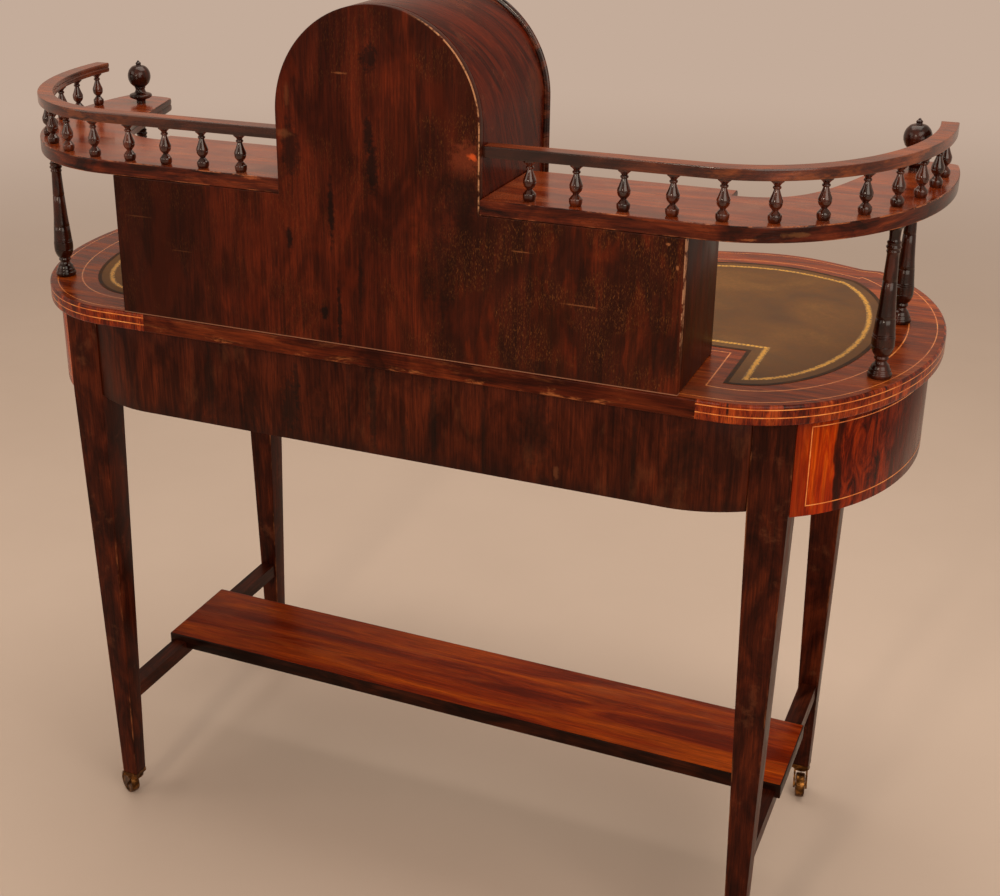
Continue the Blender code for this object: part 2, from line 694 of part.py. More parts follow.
def make_drawers():
    """Three frieze drawers with their knobs."""
    knob_height = (board_top + top_underside) / 2
    centre_half = DIVIDER_PLACE - DIVIDER_THICKNESS / 2 - RUN_GAP
    centre = make_drawer("frieze_drawer_centre", -centre_half, centre_half)
    for side, hand in ((-1, "left"), (1, "right")):
        make_knob("centre_drawer_knob_" + hand, KNOB_RADIUS, KNOB_LENGTH, side * CENTRE_KNOB_PLACE,
                  DRAWER_FRONT_DEPTH, knob_height, centre)
        edges = sorted((side * side_drawer_inner, side * side_drawer_outer))
        slide = make_drawer("frieze_drawer_" + hand, *edges)
        make_knob("frieze_drawer_knob_" + hand, KNOB_RADIUS, KNOB_LENGTH, side * side_drawer_middle,
                  DRAWER_FRONT_DEPTH + DRAWER_SWELL, knob_height, slide)


# Stretchers and undershelf

def make_stretchers():
    """A bar between the front and rear leg on each side, notched for the undershelf."""
    half = STRETCHER_WIDTH / 2
    leg_half = leg_width_at(STRETCHER_TOP) / 2
    shelf_underside = UNDERSHELF_TOP - UNDERSHELF_THICKNESS
    for side, hand in ((-1, "left"), (1, "right")):
        x = side * leg_place
        bar = add_object("stretcher_" + hand,
                         raw_box("stretcher", (x - half, x + half),
                                 (REAR_LEG_DEPTH + leg_half + FIT_GAP,
                                  FRONT_LEG_DEPTH - leg_half - FIT_GAP),
                                 (STRETCHER_TOP - STRETCHER_HEIGHT, STRETCHER_TOP)),
                         DARK_ROSEWOOD, 0.35)
        combine(bar, raw_box("housing", (x - half - CUT_OVERRUN, x + half + CUT_OVERRUN),
                             (UNDERSHELF_REAR - FIT_GAP, UNDERSHELF_FRONT + FIT_GAP),
                             (shelf_underside - FIT_GAP, STRETCHER_TOP + CUT_OVERRUN)), "DIFFERENCE")


def make_undershelf():
    """A long board that lies in the notches of the two stretchers."""
    reach = leg_place + STRETCHER_WIDTH / 2 + UNDERSHELF_PAST
    add_object("undershelf",
               block("undershelf", (-reach, reach), (UNDERSHELF_REAR, UNDERSHELF_FRONT),
                     (UNDERSHELF_TOP - UNDERSHELF_THICKNESS, UNDERSHELF_TOP)), RED_VENEER, 0.3)


# Tall middle box

def arch_stations(half_width, foot):
    """An upright arch from its left foot over the top to its right foot, with outward normals."""
    spring = TOP_HEIGHT + ARCH_SPRING
    stations = [(-half_width, foot, -1, 0)]
    for step in range(ARCH_STEPS + 1):
        angle = math.pi * (1 - step / ARCH_STEPS)
        across = math.cos(angle)
        upward = math.sin(angle)
        stations.append((half_width * across, spring + half_width * upward, across, upward))
    stations.append((half_width, foot, 1, 0))
    return stations


def make_rear_board():
    """One board behind everything above the top: two low wings and an arched middle."""
    foot = TOP_HEIGHT + FIT_GAP
    wing_top = box_top - FIT_GAP
    arch = [(x, z) for x, z, _, _ in arch_stations(ARCH_HALF_WIDTH, wing_top)]
    outline = [(-SIDE_BOX_HALF_WIDTH, foot), (-SIDE_BOX_HALF_WIDTH, wing_top)] + arch
    outline += [(SIDE_BOX_HALF_WIDTH, wing_top), (SIDE_BOX_HALF_WIDTH, foot)]
    upright = Matrix.Translation((0, rear_y, 0)) @ Matrix.Rotation(math.pi / 2, 4, "X")
    add_object("rear_board", stacked("rear_board", outline, ((0, 0), (REAR_BOARD_THICKNESS, 0)),
                                     upright), DARK_ROSEWOOD, 0.35)


def make_arch():
    """Bent shell of the box, the moulding that faces it, and the shelf inside."""
    foot = TOP_HEIGHT + FIT_GAP
    back = REAR_BOARD_THICKNESS + FIT_GAP
    shell = [(0, back), (0, ARCH_DEPTH), (-SHELL_THICKNESS, ARCH_DEPTH), (-SHELL_THICKNESS, back)]
    stations = arch_stations(ARCH_HALF_WIDTH, foot)
    add_object("arch_shell", swept("arch_shell", stations, shell), ROSEWOOD, 0.3)
    near = ARCH_DEPTH + FIT_GAP
    far = ARCH_DEPTH + MOULDING_THICKNESS
    bead = MOULDING_THICKNESS / 3
    lip = MOULDING_REACH / 2
    profile = [(-SHELL_THICKNESS, near), (lip, near), (lip, near + bead), (MOULDING_REACH, near + bead),
               (MOULDING_REACH, far - bead), (lip, far), (-SHELL_THICKNESS, far)]
    add_object("arch_moulding", swept("arch_moulding", stations, profile), DARK_ROSEWOOD, 0.3)
    half = ARCH_HALF_WIDTH - SHELL_THICKNESS - FIT_GAP
    level = TOP_HEIGHT + CUPBOARD_SHELF_HEIGHT
    door_back = far - DOOR_SETBACK - DOOR_THICKNESS
    add_object("cupboard_shelf",
               block("cupboard_shelf", (-half, half), (back, door_back - CUPBOARD_SHELF_SETBACK),
                     (level - CUPBOARD_SHELF_THICKNESS, level)), DRAWER_WOOD, 0.45)


# Cupboard door on two butt hinges

def make_door():
    """An arched door inside the moulding, hung on its left edge."""
    face = ARCH_DEPTH + MOULDING_THICKNESS - DOOR_SETBACK
    half = ARCH_HALF_WIDTH - SHELL_THICKNESS - DOOR_EDGE_GAP
    foot = TOP_HEIGHT + DOOR_EDGE_GAP
    outline = [(x, z) for x, z, _, _ in arch_stations(half, foot)]
    upright = Matrix.Translation((0, rear_y, 0)) @ Matrix.Rotation(math.pi / 2, 4, "X")
    door = add_object("cupboard_door", stacked("cupboard_door", outline,
                                               eased(face - DOOR_THICKNESS, face), upright),
                      ROSEWOOD, 0.28)
    wall = ARCH_HALF_WIDTH - SHELL_THICKNESS
    leaf_gap = DOOR_EDGE_GAP / 2
    axis_depth = ARCH_DEPTH + MOULDING_THICKNESS + FIT_GAP + HINGE_BARREL_RADIUS
    hinge_x = -(wall - leaf_gap)
    swing = joint_empty("swing_cupboard_door", (hinge_x, rear_y - axis_depth, foot))
    hang(door, swing)
    make_knob("cupboard_door_knob", SMALL_KNOB_RADIUS, SMALL_KNOB_LENGTH, half - DOOR_KNOB_INSET,
              face, TOP_HEIGHT + DOOR_KNOB_HEIGHT, swing)
    lowest = foot + HINGE_FROM_END
    highest = TOP_HEIGHT + ARCH_SPRING - HINGE_FROM_END
    for word, middle in (("lower", lowest), ("upper", highest)):
        make_hinge(word, hinge_x, axis_depth, middle, swing)


def make_hinge(word, x, depth, middle, swing):
    """Fixed leaf with two knuckles and the pin, and the door's leaf with the knuckle between."""
    bottom = middle - HINGE_HEIGHT / 2
    top = middle + HINGE_HEIGHT / 2
    third = HINGE_HEIGHT / 3
    leaf_front = depth - HINGE_BARREL_RADIUS - FIT_GAP
    leaf_back = leaf_front - HINGE_LEAF_LENGTH
    fixed_wall = -(ARCH_HALF_WIDTH - SHELL_THICKNESS) + FIT_GAP
    door_edge = -(ARCH_HALF_WIDTH - SHELL_THICKNESS - DOOR_EDGE_GAP) - FIT_GAP
    fixed_leaf = (fixed_wall, fixed_wall + HINGE_LEAF_THICKNESS)
    door_leaf = (door_edge - HINGE_LEAF_THICKNESS, door_edge)
    y = rear_y - depth

    fixed = add_object("hinge_frame_leaf_" + word,
                       raw_box("frame_leaf", fixed_leaf, (leaf_back, leaf_front), (bottom, top)),
                       BRASS, 0.35, 1.0)
    pin = turned("pin", [(0, bottom + JOIN_LAP), (HINGE_PIN_RADIUS, bottom + JOIN_LAP),
                         (HINGE_PIN_RADIUS, top - JOIN_LAP), (0, top - JOIN_LAP)], PIN_SIDES)
    pin.transform(Matrix.Translation((x, y, 0)))
    for low, high in ((bottom, bottom + third - FIT_GAP), (top - third + FIT_GAP, top)):
        knuckle = turned("knuckle", [(0, low), (HINGE_BARREL_RADIUS, low),
                                     (HINGE_BARREL_RADIUS, high), (0, high)], PIN_SIDES)
        knuckle.transform(Matrix.Translation((x, y, 0)))
        combine(fixed, raw_box("tab", fixed_leaf, (leaf_front - JOIN_LAP, depth), (low, high)), "UNION")
        combine(fixed, knuckle, "UNION")
    combine(fixed, pin, "UNION")

    moving = add_object("hinge_door_leaf_" + word,
                        raw_box("door_leaf", door_leaf, (leaf_back, leaf_front), (bottom, top)),
                        BRASS, 0.35, 1.0)
    low = bottom + third + FIT_GAP
    high = top - third - FIT_GAP
    knuckle = turned("knuckle", [(0, low), (HINGE_BARREL_RADIUS, low),
                                 (HINGE_BARREL_RADIUS, high), (0, high)], PIN_SIDES)
    knuckle.transform(Matrix.Translation((x, y, 0)))
    bore_radius = HINGE_PIN_RADIUS + FIT_GAP
    bore = turned("bore", [(0, low - CUT_OVERRUN), (bore_radius, low - CUT_OVERRUN),
                           (bore_radius, high + CUT_OVERRUN), (0, high + CUT_OVERRUN)], PIN_SIDES)
    bore.transform(Matrix.Translation((x, y, 0)))
    combine(moving, raw_box("tab", door_leaf, (leaf_front - JOIN_LAP, depth), (low, high)), "UNION")
    combine(moving, knuckle, "UNION")
    combine(moving, bore, "DIFFERENCE")
    hang(moving, swing)


# Low side boxes

def make_side_box(side, hand):
    """Two upright panels with the floor of the letter hole between, and the small drawer below."""
    back = REAR_BOARD_THICKNESS + FIT_GAP
    outer = SIDE_BOX_HALF_WIDTH
    panel_inner = outer - SIDE_PANEL_THICKNESS
    wall = ARCH_HALF_WIDTH + FIT_GAP
    inner = wall + INNER_PANEL_THICKNESS
    heights = (TOP_HEIGHT + FIT_GAP, box_top - FIT_GAP)
    box = add_object("side_box_" + hand,
                     block("side_box", sorted((side * panel_inner, side * outer)),
                           (back, SIDE_BOX_DEPTH), heights), ROSEWOOD, 0.3)
    floor_top = TOP_HEIGHT + HOLE_FLOOR_HEIGHT + HOLE_FLOOR_THICKNESS
    floor = raw_box("hole_floor", sorted((side * (inner - JOIN_LAP), side * (panel_inner + JOIN_LAP))),
                    (back, SIDE_BOX_DEPTH - EASE), (TOP_HEIGHT + HOLE_FLOOR_HEIGHT, floor_top))
    combine(box, floor, "UNION")
    combine(box, block("inner_panel", sorted((side * wall, side * inner)),
                       (back, SIDE_BOX_DEPTH), heights), "UNION")
    bottom = TOP_HEIGHT + FIT_GAP
    top = TOP_HEIGHT + HOLE_FLOOR_HEIGHT - RUN_GAP
    edges = sorted((side * (inner + RUN_GAP), side * (panel_inner - RUN_GAP)))
    name = "small_drawer_" + hand
    front = SIDE_BOX_DEPTH - FIT_GAP
    drawer = add_object(name, block(name, edges, (back + RUN_GAP, front), (bottom, top), FIT_GAP),
                        ROSEWOOD, 0.28)
    combine(drawer, raw_box("inside", (edges[0] + SMALL_DRAWER_WALL, edges[1] - SMALL_DRAWER_WALL),
                            (back + RUN_GAP + SMALL_DRAWER_WALL, front - SMALL_DRAWER_FRONT),
                            (bottom + DRAWER_FLOOR, top + CUT_OVERRUN)), "DIFFERENCE")
    middle = (edges[0] + edges[1]) / 2
    slide = joint_empty("slide_" + name, (middle, rear_y - front, bottom))
    hang(drawer, slide)
    make_knob("small_drawer_knob_" + hand, SMALL_KNOB_RADIUS, SMALL_KNOB_LENGTH, middle, front,
              (bottom + top) / 2, slide)


# Gallery

def bezier(start, pull_start, pull_finish, finish, steps):
    """Points of a cubic curve between two ends."""
    points = []
    for step in range(steps + 1):
        share = step / steps
        left = 1 - share
        weights = (left ** 3, 3 * left ** 2 * share, 3 * left * share ** 2, share ** 3)
        corners = (start, pull_start, pull_finish, finish)
        points.append(tuple(sum(weight * corner[axis] for weight, corner in zip(weights, corners))
                            for axis in range(2)))
    return points


def shelf_outline(hand):
    """Plan of a gallery shelf: straight over the low box, then scooped inside and round outside."""
    wall = ARCH_HALF_WIDTH + FIT_GAP
    end_angle = math.asin((END_DEEP - SHELF_END_DEPTH) / shelf_deep)
    outer = end_curve(SHELF_ACROSS[hand], shelf_deep, math.pi / 2, end_angle, place=SHELF_MIDDLE)
    end_outer = outer[-1][0]
    nose = bezier(outer[-1], (end_outer, SHELF_END_DEPTH + SHELF_END_NOSE),
                  (SHELF_END_INNER, SHELF_END_DEPTH + SHELF_END_NOSE),
                  (SHELF_END_INNER, SHELF_END_DEPTH), FRONT_STEPS // 4)
    corner = SIDE_BOX_HALF_WIDTH + SHELF_BOX_PAST
    scoop = bezier((SHELF_END_INNER, SHELF_END_DEPTH),
                   (SHELF_END_INNER - SCOOP_SPREAD, SHELF_END_DEPTH - SCOOP_RUN),
                   (corner + SCOOP_PULL, SCOOP_DEPTH), (corner, SCOOP_DEPTH), FRONT_STEPS)
    box_front = SIDE_BOX_DEPTH + SHELF_BOX_FRONT
    rear = [(wall, SHELF_REAR_INSET)]
    return rear + outer + nose[1:] + scoop[1:] + [(corner, box_front), (wall, box_front)]


def rail_edge(hand, across_rail):
    """A line along a gallery rail in plan, from the arch to its front end."""
    inset = RAIL_INSET[hand] + across_rail
    deep = shelf_deep - inset
    end_angle = math.asin((END_DEEP - RAIL_END_DEPTH[hand]) / deep)
    curve = end_curve(SHELF_ACROSS[hand] - inset, deep, math.pi / 2, end_angle, place=SHELF_MIDDLE)
    return [(ARCH_HALF_WIDTH + FIT_GAP, END_DEEP - deep)] + curve


def evenly_along(points, count, start_margin, end_margin):
    """Places spaced evenly along a line of points, between a margin at each end."""
    lengths = [math.dist(a, b) for a, b in zip(points, points[1:])]
    pitch = (sum(lengths) - start_margin - end_margin) / (count - 1)
    places = []
    for number in range(count):
        left = start_margin + pitch * number
        for start, finish, length in zip(points, points[1:], lengths):
            if left <= length:
                share = left / length
                places.append((start[0] + (finish[0] - start[0]) * share,
                               start[1] + (finish[1] - start[1]) * share))
                break
            left -= length
    return places


def spindle_row(side, hand):
    """The turned spindles of one gallery, as one mesh to be joined to their rail."""
    middle = rail_edge(hand, RAIL_WIDTH / 2)
    row = bmesh.new()
    length = RAIL_HEIGHT_ABOVE_SHELF - FIT_GAP + JOIN_LAP
    one = turned("spindle", shared_profile(SPINDLE_SHARES, SPINDLE_RADIUS, length), SPINDLE_SIDES)
    for x, depth in evenly_along(middle, SPINDLE_COUNT, SPINDLE_START[hand], SPINDLE_END_MARGIN[hand]):
        already = len(row.verts)
        row.from_mesh(one)
        row.verts.ensure_lookup_table()
        bmesh.ops.translate(row, verts=row.verts[already:],
                            vec=(side * x, rear_y - depth, shelf_top + FIT_GAP))
    return to_mesh("spindle_row", row)


def make_gallery(side, hand):
    """Shelf, and the rail on its spindles above it."""
    outline = [(side * x, depth) for x, depth in shelf_outline(hand)]
    add_object("gallery_shelf_" + hand,
               stacked("gallery_shelf", plan(outline), eased(box_top, shelf_top)),
               RED_VENEER, 0.22)
    band = rail_edge(hand, 0) + rail_edge(hand, RAIL_WIDTH)[::-1]
    band = [(side * x, depth) for x, depth in band]
    rail = add_object("gallery_rail_" + hand,
                      stacked("gallery_rail", plan(band), eased(rail_bottom, rail_bottom + RAIL_THICKNESS)),
                      ROSEWOOD, 0.25)
    combine(rail, spindle_row(side, hand), "UNION")


def make_turnings(side, hand):
    """Two columns under a gallery, and the ball finial on its front end."""
    height = SIDE_BOX_HEIGHT - 2 * FIT_GAP
    for word, place in (("rear", REAR_COLUMN_PLACE[hand]), ("front", FRONT_COLUMN_PLACE[hand])):
        column = add_object("column_%s_%s" % (word, hand),
                            turned("column", shared_profile(COLUMN_SHARES, COLUMN_RADIUS, height),
                                   COLUMN_SIDES), EBONISED, 0.22)
        column.location = (side * place[0], rear_y - place[1], TOP_HEIGHT + FIT_GAP)
    finial = add_object("finial_" + hand,
                        turned("finial", shared_profile(FINIAL_SHARES, FINIAL_RADIUS, FINIAL_HEIGHT),
                               COLUMN_SIDES), EBONISED, 0.2)
    finial.location = (side * FINIAL_PLACE[0], rear_y - FINIAL_PLACE[1], shelf_top + FIT_GAP)


make_top()
make_legs()
make_rear_apron()
make_dust_board()
make_dividers()
make_drawers()
make_stretchers()
make_undershelf()
make_rear_board()
make_arch()
make_door()
for side, hand in ((-1, "left"), (1, "right")):
    make_end_apron(side, hand)
    make_side_box(side, hand)
    make_gallery(side, hand)
    make_turnings(side, hand)
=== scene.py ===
"""A writing desk with rounded ends, an arched cupboard and spindled galleries: how it looks.

Metres, +Z up. The front is -Y, and depths are measured forward from the plane of the back.
"""

import math
from itertools import accumulate

import bmesh
import bpy
from mathutils import Matrix, Vector
from mathutils.geometry import delaunay_2d_cdt


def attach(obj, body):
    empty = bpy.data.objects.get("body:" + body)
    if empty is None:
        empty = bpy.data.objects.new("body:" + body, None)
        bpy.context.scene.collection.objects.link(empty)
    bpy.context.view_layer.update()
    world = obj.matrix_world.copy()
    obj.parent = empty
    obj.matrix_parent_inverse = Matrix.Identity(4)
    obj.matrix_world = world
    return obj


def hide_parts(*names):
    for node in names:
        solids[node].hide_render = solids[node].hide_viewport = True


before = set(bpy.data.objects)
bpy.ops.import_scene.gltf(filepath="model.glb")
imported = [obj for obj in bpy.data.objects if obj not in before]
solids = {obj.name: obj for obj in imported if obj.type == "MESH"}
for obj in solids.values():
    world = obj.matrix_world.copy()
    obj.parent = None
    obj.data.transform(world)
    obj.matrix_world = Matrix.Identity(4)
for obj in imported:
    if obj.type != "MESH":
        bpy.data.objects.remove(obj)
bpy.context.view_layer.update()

# Desk top: one broad board veneered in rosewood, with its grain running along the desk. Both ends
# are round, the front swells towards the two drawer stacks, and the edge is cross-banded from one
# rear corner round the front to the other. Behind the boxes the edge is plain and knocked about.
BACK, TOP, TOP_THICK = 0.27315, 0.760, 0.022
END_MIDDLE, END_ACROSS, END_DEEP = 0.372, 0.190, 0.2725
FRONT, SWELL, SWELL_MIDDLE, NOTCH = 0.500, 0.043, 0.335, 0.436
BANDED_FROM = (-0.355, 0.310)
WING, BOX_DEEP, ARCH_SIDE, ARCH_FRONT = 0.336, 0.137, 0.1238, 0.1963
FLAT_RING, RECESS_ROOM, RECESS_DEEP = 0.0006, 0.0004, 0.0014
HANDS = ((-1, "left"), (1, "right"))


def tone(red, green, blue):
    """A colour in parts of 255, as the shader wants it."""
    parts = [part / 255 for part in (red, green, blue)]
    return (*(part / 12.92 if part < 0.04 else ((part + 0.055) / 1.055) ** 2.4 for part in parts), 1)


def spread(start, finish, steps):
    """Evenly spaced values from start to finish."""
    return [start + (finish - start) * step / steps for step in range(steps + 1)]


def so_far(line):
    """The length of a line up to each of its points."""
    return list(accumulate(map(math.dist, line, line[1:]), initial=0))


def plan(points):
    """Points of X and depth as points of X and Y."""
    return [(x, BACK - depth) for x, depth in points]


def swell(x, middle, reach):
    """How far a front swells at a place, from 0 to 1."""
    return math.cos(math.pi / 2 * min(1, abs(abs(x) - middle) / reach)) ** 2


def front_edge(x):
    """Depth of the front edge of the top between its two ends."""
    return FRONT + SWELL * swell(x, SWELL_MIDDLE, 0.170 if abs(x) > SWELL_MIDDLE else 0.204)


def round_end(across, deep, start, finish, middle=END_DEEP, steps=90, centre=END_MIDDLE):
    """Points of a rounded end, by the angle from its widest point towards the back."""
    return [(centre + across * math.cos(angle), middle - deep * math.sin(angle))
            for angle in spread(start, finish, steps)]


def both_halves(half):
    """Mirror an outline that starts and ends on the middle line."""
    return half + [(-x, depth) for x, depth in reversed(half) if x > 0]


def area_of(outline):
    """The signed area of an outline: positive where it runs anticlockwise."""
    return sum(a[0] * b[1] - b[0] * a[1] for a, b in zip(outline, outline[1:] + outline[:1])) / 2


def anticlockwise(outline):
    """The same outline, run anticlockwise."""
    return outline[::-1] if area_of(outline) < 0 else outline


def drawn_in(outline, inset):
    """An anticlockwise outline moved inwards, with mitred corners."""
    moved = []
    for last, here, after in zip(outline[-1:] + outline, outline, outline[1:] + outline[:1]):
        here = Vector(here)
        before, onward = (here - Vector(last)).normalized(), (Vector(after) - here).normalized()
        first, second = Vector((-before.y, before.x)), Vector((-onward.y, onward.x))
        moved.append(tuple(here + (first + second) / (1 + first.dot(second)) * inset))
    return moved


def softened(bottom, top, radius, steps=4):
    """Levels of a board with rounded edges, with a narrow flat ring to hold its faces flat."""
    turn = [(radius * (1 - math.cos(angle)), radius * (1 - math.sin(angle)))
            for angle in spread(0, math.pi / 2, steps)]
    return ([(bottom, radius + FLAT_RING)] + [(bottom + rise, inset) for rise, inset in turn]
            + [(top - rise, inset) for rise, inset in reversed(turn)] + [(top, radius + FLAT_RING)])


def settle(name, shape, crease=35):
    """Turn the worked shape into a piece with smooth faces and crisp arrises."""
    bmesh.ops.recalc_face_normals(shape, faces=shape.faces)
    mesh = bpy.data.meshes.new(name)
    shape.to_mesh(mesh)
    shape.free()
    mesh.shade_smooth()
    mesh.set_sharp_from_angle(angle=math.radians(crease))
    piece = bpy.data.objects.new(name, mesh)
    bpy.context.scene.collection.objects.link(piece)
    return piece


def lay_out(face, run, near, far, low, high):
    """Unroll one face, so that veneer can follow it."""
    for loop, spot in zip(face.loops, ((near, low), (far, low), (far, high), (near, high))):
        loop[run].uv = spot


def skin(shape, rows):
    """Faces between closed rows of points."""
    run = shape.loops.layers.uv.verify()
    ribs = [[shape.verts.new(point) for point in row] for row in rows]
    gone, risen = so_far(rows[0] + rows[0][:1]), 0
    for here, after in zip(ribs, ribs[1:]):
        step = (after[0].co - here[0].co).length
        for place in range(len(here)):
            beside = (place + 1) % len(here)
            face = shape.faces.new((here[place], here[beside], after[beside], after[place]))
            lay_out(face, run, gone[place], gone[place + 1], risen, risen + step)
        risen += step
    return ribs


def made_of(name, rows, crease=35, stand=None):
    """A piece skinned over rows of points and closed at both ends."""
    shape = bmesh.new()
    ribs = skin(shape, rows)
    shape.faces.new(ribs[0][::-1])
    shape.faces.new(ribs[-1])
    if stand:
        shape.transform(stand)
    return settle(name, shape, crease)


def levelled(outline, levels):
    """Rows of an outline, drawn in at each of its levels."""
    return [[(x, y, height) for x, y in drawn_in(outline, inset)] for height, inset in levels]


def board(name, outline, levels, stand=None):
    """A board cut to an outline. Each level gives a height and how far it is drawn in there."""
    return made_of(name, levelled(anticlockwise(outline), levels), stand=stand)


def within(spot, outline):
    """Whether a spot lies inside an outline."""
    crossed = False
    for (x, y), (next_x, next_y) in zip(outline, outline[1:] + outline[:1]):
        if (y > spot[1]) != (next_y > spot[1]):
            crossed ^= spot[0] < x + (spot[1] - y) * (next_x - x) / (next_y - y)
    return crossed


def sunk_board(name, outline, levels, sunk, deep):
    """A board with a recess in its top face."""
    outline = anticlockwise(outline)
    shape = bmesh.new()
    ribs = skin(shape, levelled(outline, levels))
    shape.faces.new(ribs[0][::-1])
    rim, top = ribs[-1], levels[-1][0]
    mouth = [shape.verts.new((x, y, top)) for x, y in sunk]
    floor = [shape.verts.new((x, y, top - deep)) for x, y in sunk]
    corners, ties = rim + mouth, []
    flat = [corner.co.xy for corner in corners]
    for first, count in ((0, len(rim)), (len(rim), len(mouth))):
        ties += [(first + (place or count) - 1, first + place) for place in range(count)]
    _, _, filled, places, _, _ = delaunay_2d_cdt(flat, ties, [], 1, 1e-7)
    for face in filled:
        three = [places[number][0] for number in face]
        middle = sum((flat[number] for number in three), Vector((0, 0))) / 3
        if within(middle, outline) and not within(middle, sunk):
            shape.faces.new([corners[number] for number in three])
    for place in range(len(mouth)):
        shape.faces.new((mouth[place - 1], mouth[place], floor[place], floor[place - 1]))
    shape.faces.new(floor)
    return settle(name, shape)


def fit(piece, body, node, slot, *finishes, part=None):
    """Finish a piece, or each part of it, and hang it on its body in place of its solid, if any."""
    for finish in finishes:
        piece.data.materials.append(finish)
    for face in piece.data.polygons if part else ():
        face.material_index = int(part(face))
    if node:
        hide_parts(node)
    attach(piece, body)


class Finish:
    """A finish as it is built up: its colour, its sheen and its fine relief."""

    def __init__(self, name, kept=bpy.data.materials, shader="Principled BSDF"):
        self.material = kept.new(name)
        self.material.use_nodes = True
        self.tree = self.material.node_tree
        self.shader = self.tree.nodes[shader]
        place = self.tree.nodes.new("ShaderNodeTexCoord")
        self.spot, self.run = place.outputs["Object"], place.outputs["UV"]

    def feed(self, socket, value):
        """Give a socket a plain value, a colour in parts of 255, or what another step makes."""
        if isinstance(value, bpy.types.NodeSocket):
            self.tree.links.new(value, socket)
        elif socket.type == "RGBA" and len(value) == 3:
            socket.default_value = tone(*value)
        else:
            socket.default_value = value

    def step(self, kind, *values, way=None, **named):
        """Add one step of the finish."""
        made = self.tree.nodes.new("ShaderNode" + kind)
        if way:
            made.operation = way
        for socket, value in zip(made.inputs, values):
            self.feed(socket, value)
        for name, value in named.items():
            self.feed(made.inputs[name], value)
        return made

    def reckon(self, way, *values):
        """A sum of one to three numbers."""
        return self.step("Math", *values, way=way).outputs[0]

    def times(self, amount, *others):
        """An amount thinned by others."""
        for other in others:
            amount = self.reckon("MULTIPLY", amount, other)
        return amount

    def places(self):
        """X, Y and height of the place."""
        return self.step("SeparateXYZ", self.spot).outputs

    def mottle(self, scale, detail=4, rough=0.55, swirl=0, drawn=None, turn=0, place=None):
        """Irregular light and dark from 0 to 1, drawn out where an axis has a small share."""
        place = place or self.spot
        if drawn:
            place = self.step("Mapping", Vector=place, Rotation=(0, 0, math.radians(turn))).outputs[0]
            place = self.step("Mapping", Vector=place, Scale=drawn).outputs[0]
        return self.step("TexNoise", Vector=place, Scale=scale, Detail=detail, Roughness=rough,
                         Distortion=swirl).outputs[0]

    def between(self, value, low, high, start=0, finish=1):
        """A soft step from start to finish as a value goes from low to high."""
        made = self.step("MapRange", value, low, high, start, finish)
        made.interpolation_type = "SMOOTHSTEP"
        return made.outputs[0]

    def patches(self, low, high, *figure, **drawn):
        """Soft-edged patches, where a mottle is between two values."""
        return self.between(self.mottle(*figure, **drawn), low, high)

    def lay(self, under, over, *amounts, way="MIX"):
        """Lay one colour over another, as thickly as all the amounts allow."""
        made = self.tree.nodes.new("ShaderNodeMix")
        made.data_type, made.blend_type = "RGBA", way
        for number, part in ((0, self.times(*amounts)), (6, under), (7, over)):
            self.feed(made.inputs[number], part)
        return made.outputs[2]

    def shades(self, value, *stops):
        """Colours along a value."""
        made = self.step("ValToRGB", value)
        ramp = made.color_ramp.elements
        while len(ramp) < len(stops):
            ramp.new(0.5)
        for element, (place, colour) in zip(ramp, stops):
            element.position = place
            element.color = tone(*colour) if len(colour) == 3 else colour
        return made.outputs[0]

    def finish(self, colour, rough, height, relief=0.1, depth=0.0004, metal=0, coat=0, sheen=0.5):
        """Join colour, roughness and relief to the surface."""
        bump = self.step("Bump", Strength=relief, Distance=depth, Height=height).outputs[0]
        for name, value in (("Base Color", colour), ("Roughness", rough), ("Metallic", metal),
                            ("Coat Weight", coat), ("Coat Roughness", 0.12),
                            ("Specular IOR Level", sheen), ("Normal", bump)):
            self.feed(self.shader.inputs[name], value)
        return self.material


def rosewood(name, grain, dark, body, light, figure=46, swirl=1.2, smoke=0.5, lines=0.55, long=0.36,
             gloss=(0.28, 0.44), coat=0, sheen=0.09, turn=0, run=False, wear=None):
    """Polished rosewood: clouds of colour, smoky streaks and fine lines along the grain, pores."""
    work = Finish(name)

    def along(share, *pattern):
        drawn = tuple(share if axis == grain else 1 for axis in "XYZ")
        return work.mottle(*pattern, drawn=drawn, turn=turn, place=work.run if run else work.spot)

    cloud = along(long, figure * 0.45, 4, 0.6, swirl)
    colour = work.shades(cloud, (0.38, dark), (0.50, body), (0.64, light))
    deep = tuple(part * 0.3 for part in tone(*dark)[:3]) + (1,)
    for scale, low in ((1.6, 0.56), (5, 0.59)):
        streaks = along(0.07, figure * scale, 4, 0.62, swirl * 0.4)
        colour = work.lay(colour, deep, work.between(streaks, low, low + 0.12, 0, smoke))
    for scale, darker, paler in ((3.2, 0.62, 1.22), (9, 0.50, 1.32)):
        fine = along(0.04, figure * scale, 4, 0.65, 0.2)
        bands = work.shades(fine, (0.42, (darker, darker * 0.92, darker * 0.88, 1)),
                            (0.58, (paler, paler * 0.97, paler * 0.92, 1)))
        colour = work.lay(colour, bands, lines, way="MULTIPLY")
    pores = work.between(along(0.04, figure * 26, 2, 0.5), 0.38, 0.32)
    colour = work.lay(colour, deep, pores, 0.5)
    if wear:
        colour = wear(work, colour)
    return work.finish(colour, work.between(cloud, 0.35, 0.70, *gloss),
                       work.reckon("SUBTRACT", work.times(fine, 0.5), pores), coat=coat, sheen=sheen)


def top_outline():
    """The outline of the desk top, in X and depth."""
    end = round_end(END_ACROSS, END_DEEP, math.pi / 2,
                    -math.acos((NOTCH + 0.021 - END_MIDDLE) / END_ACROSS))
    return both_halves(sorted((abs(x), 0) for x in BANDED_FROM) + end
                       + [(x, front_edge(x)) for x in spread(NOTCH, 0, 70)])


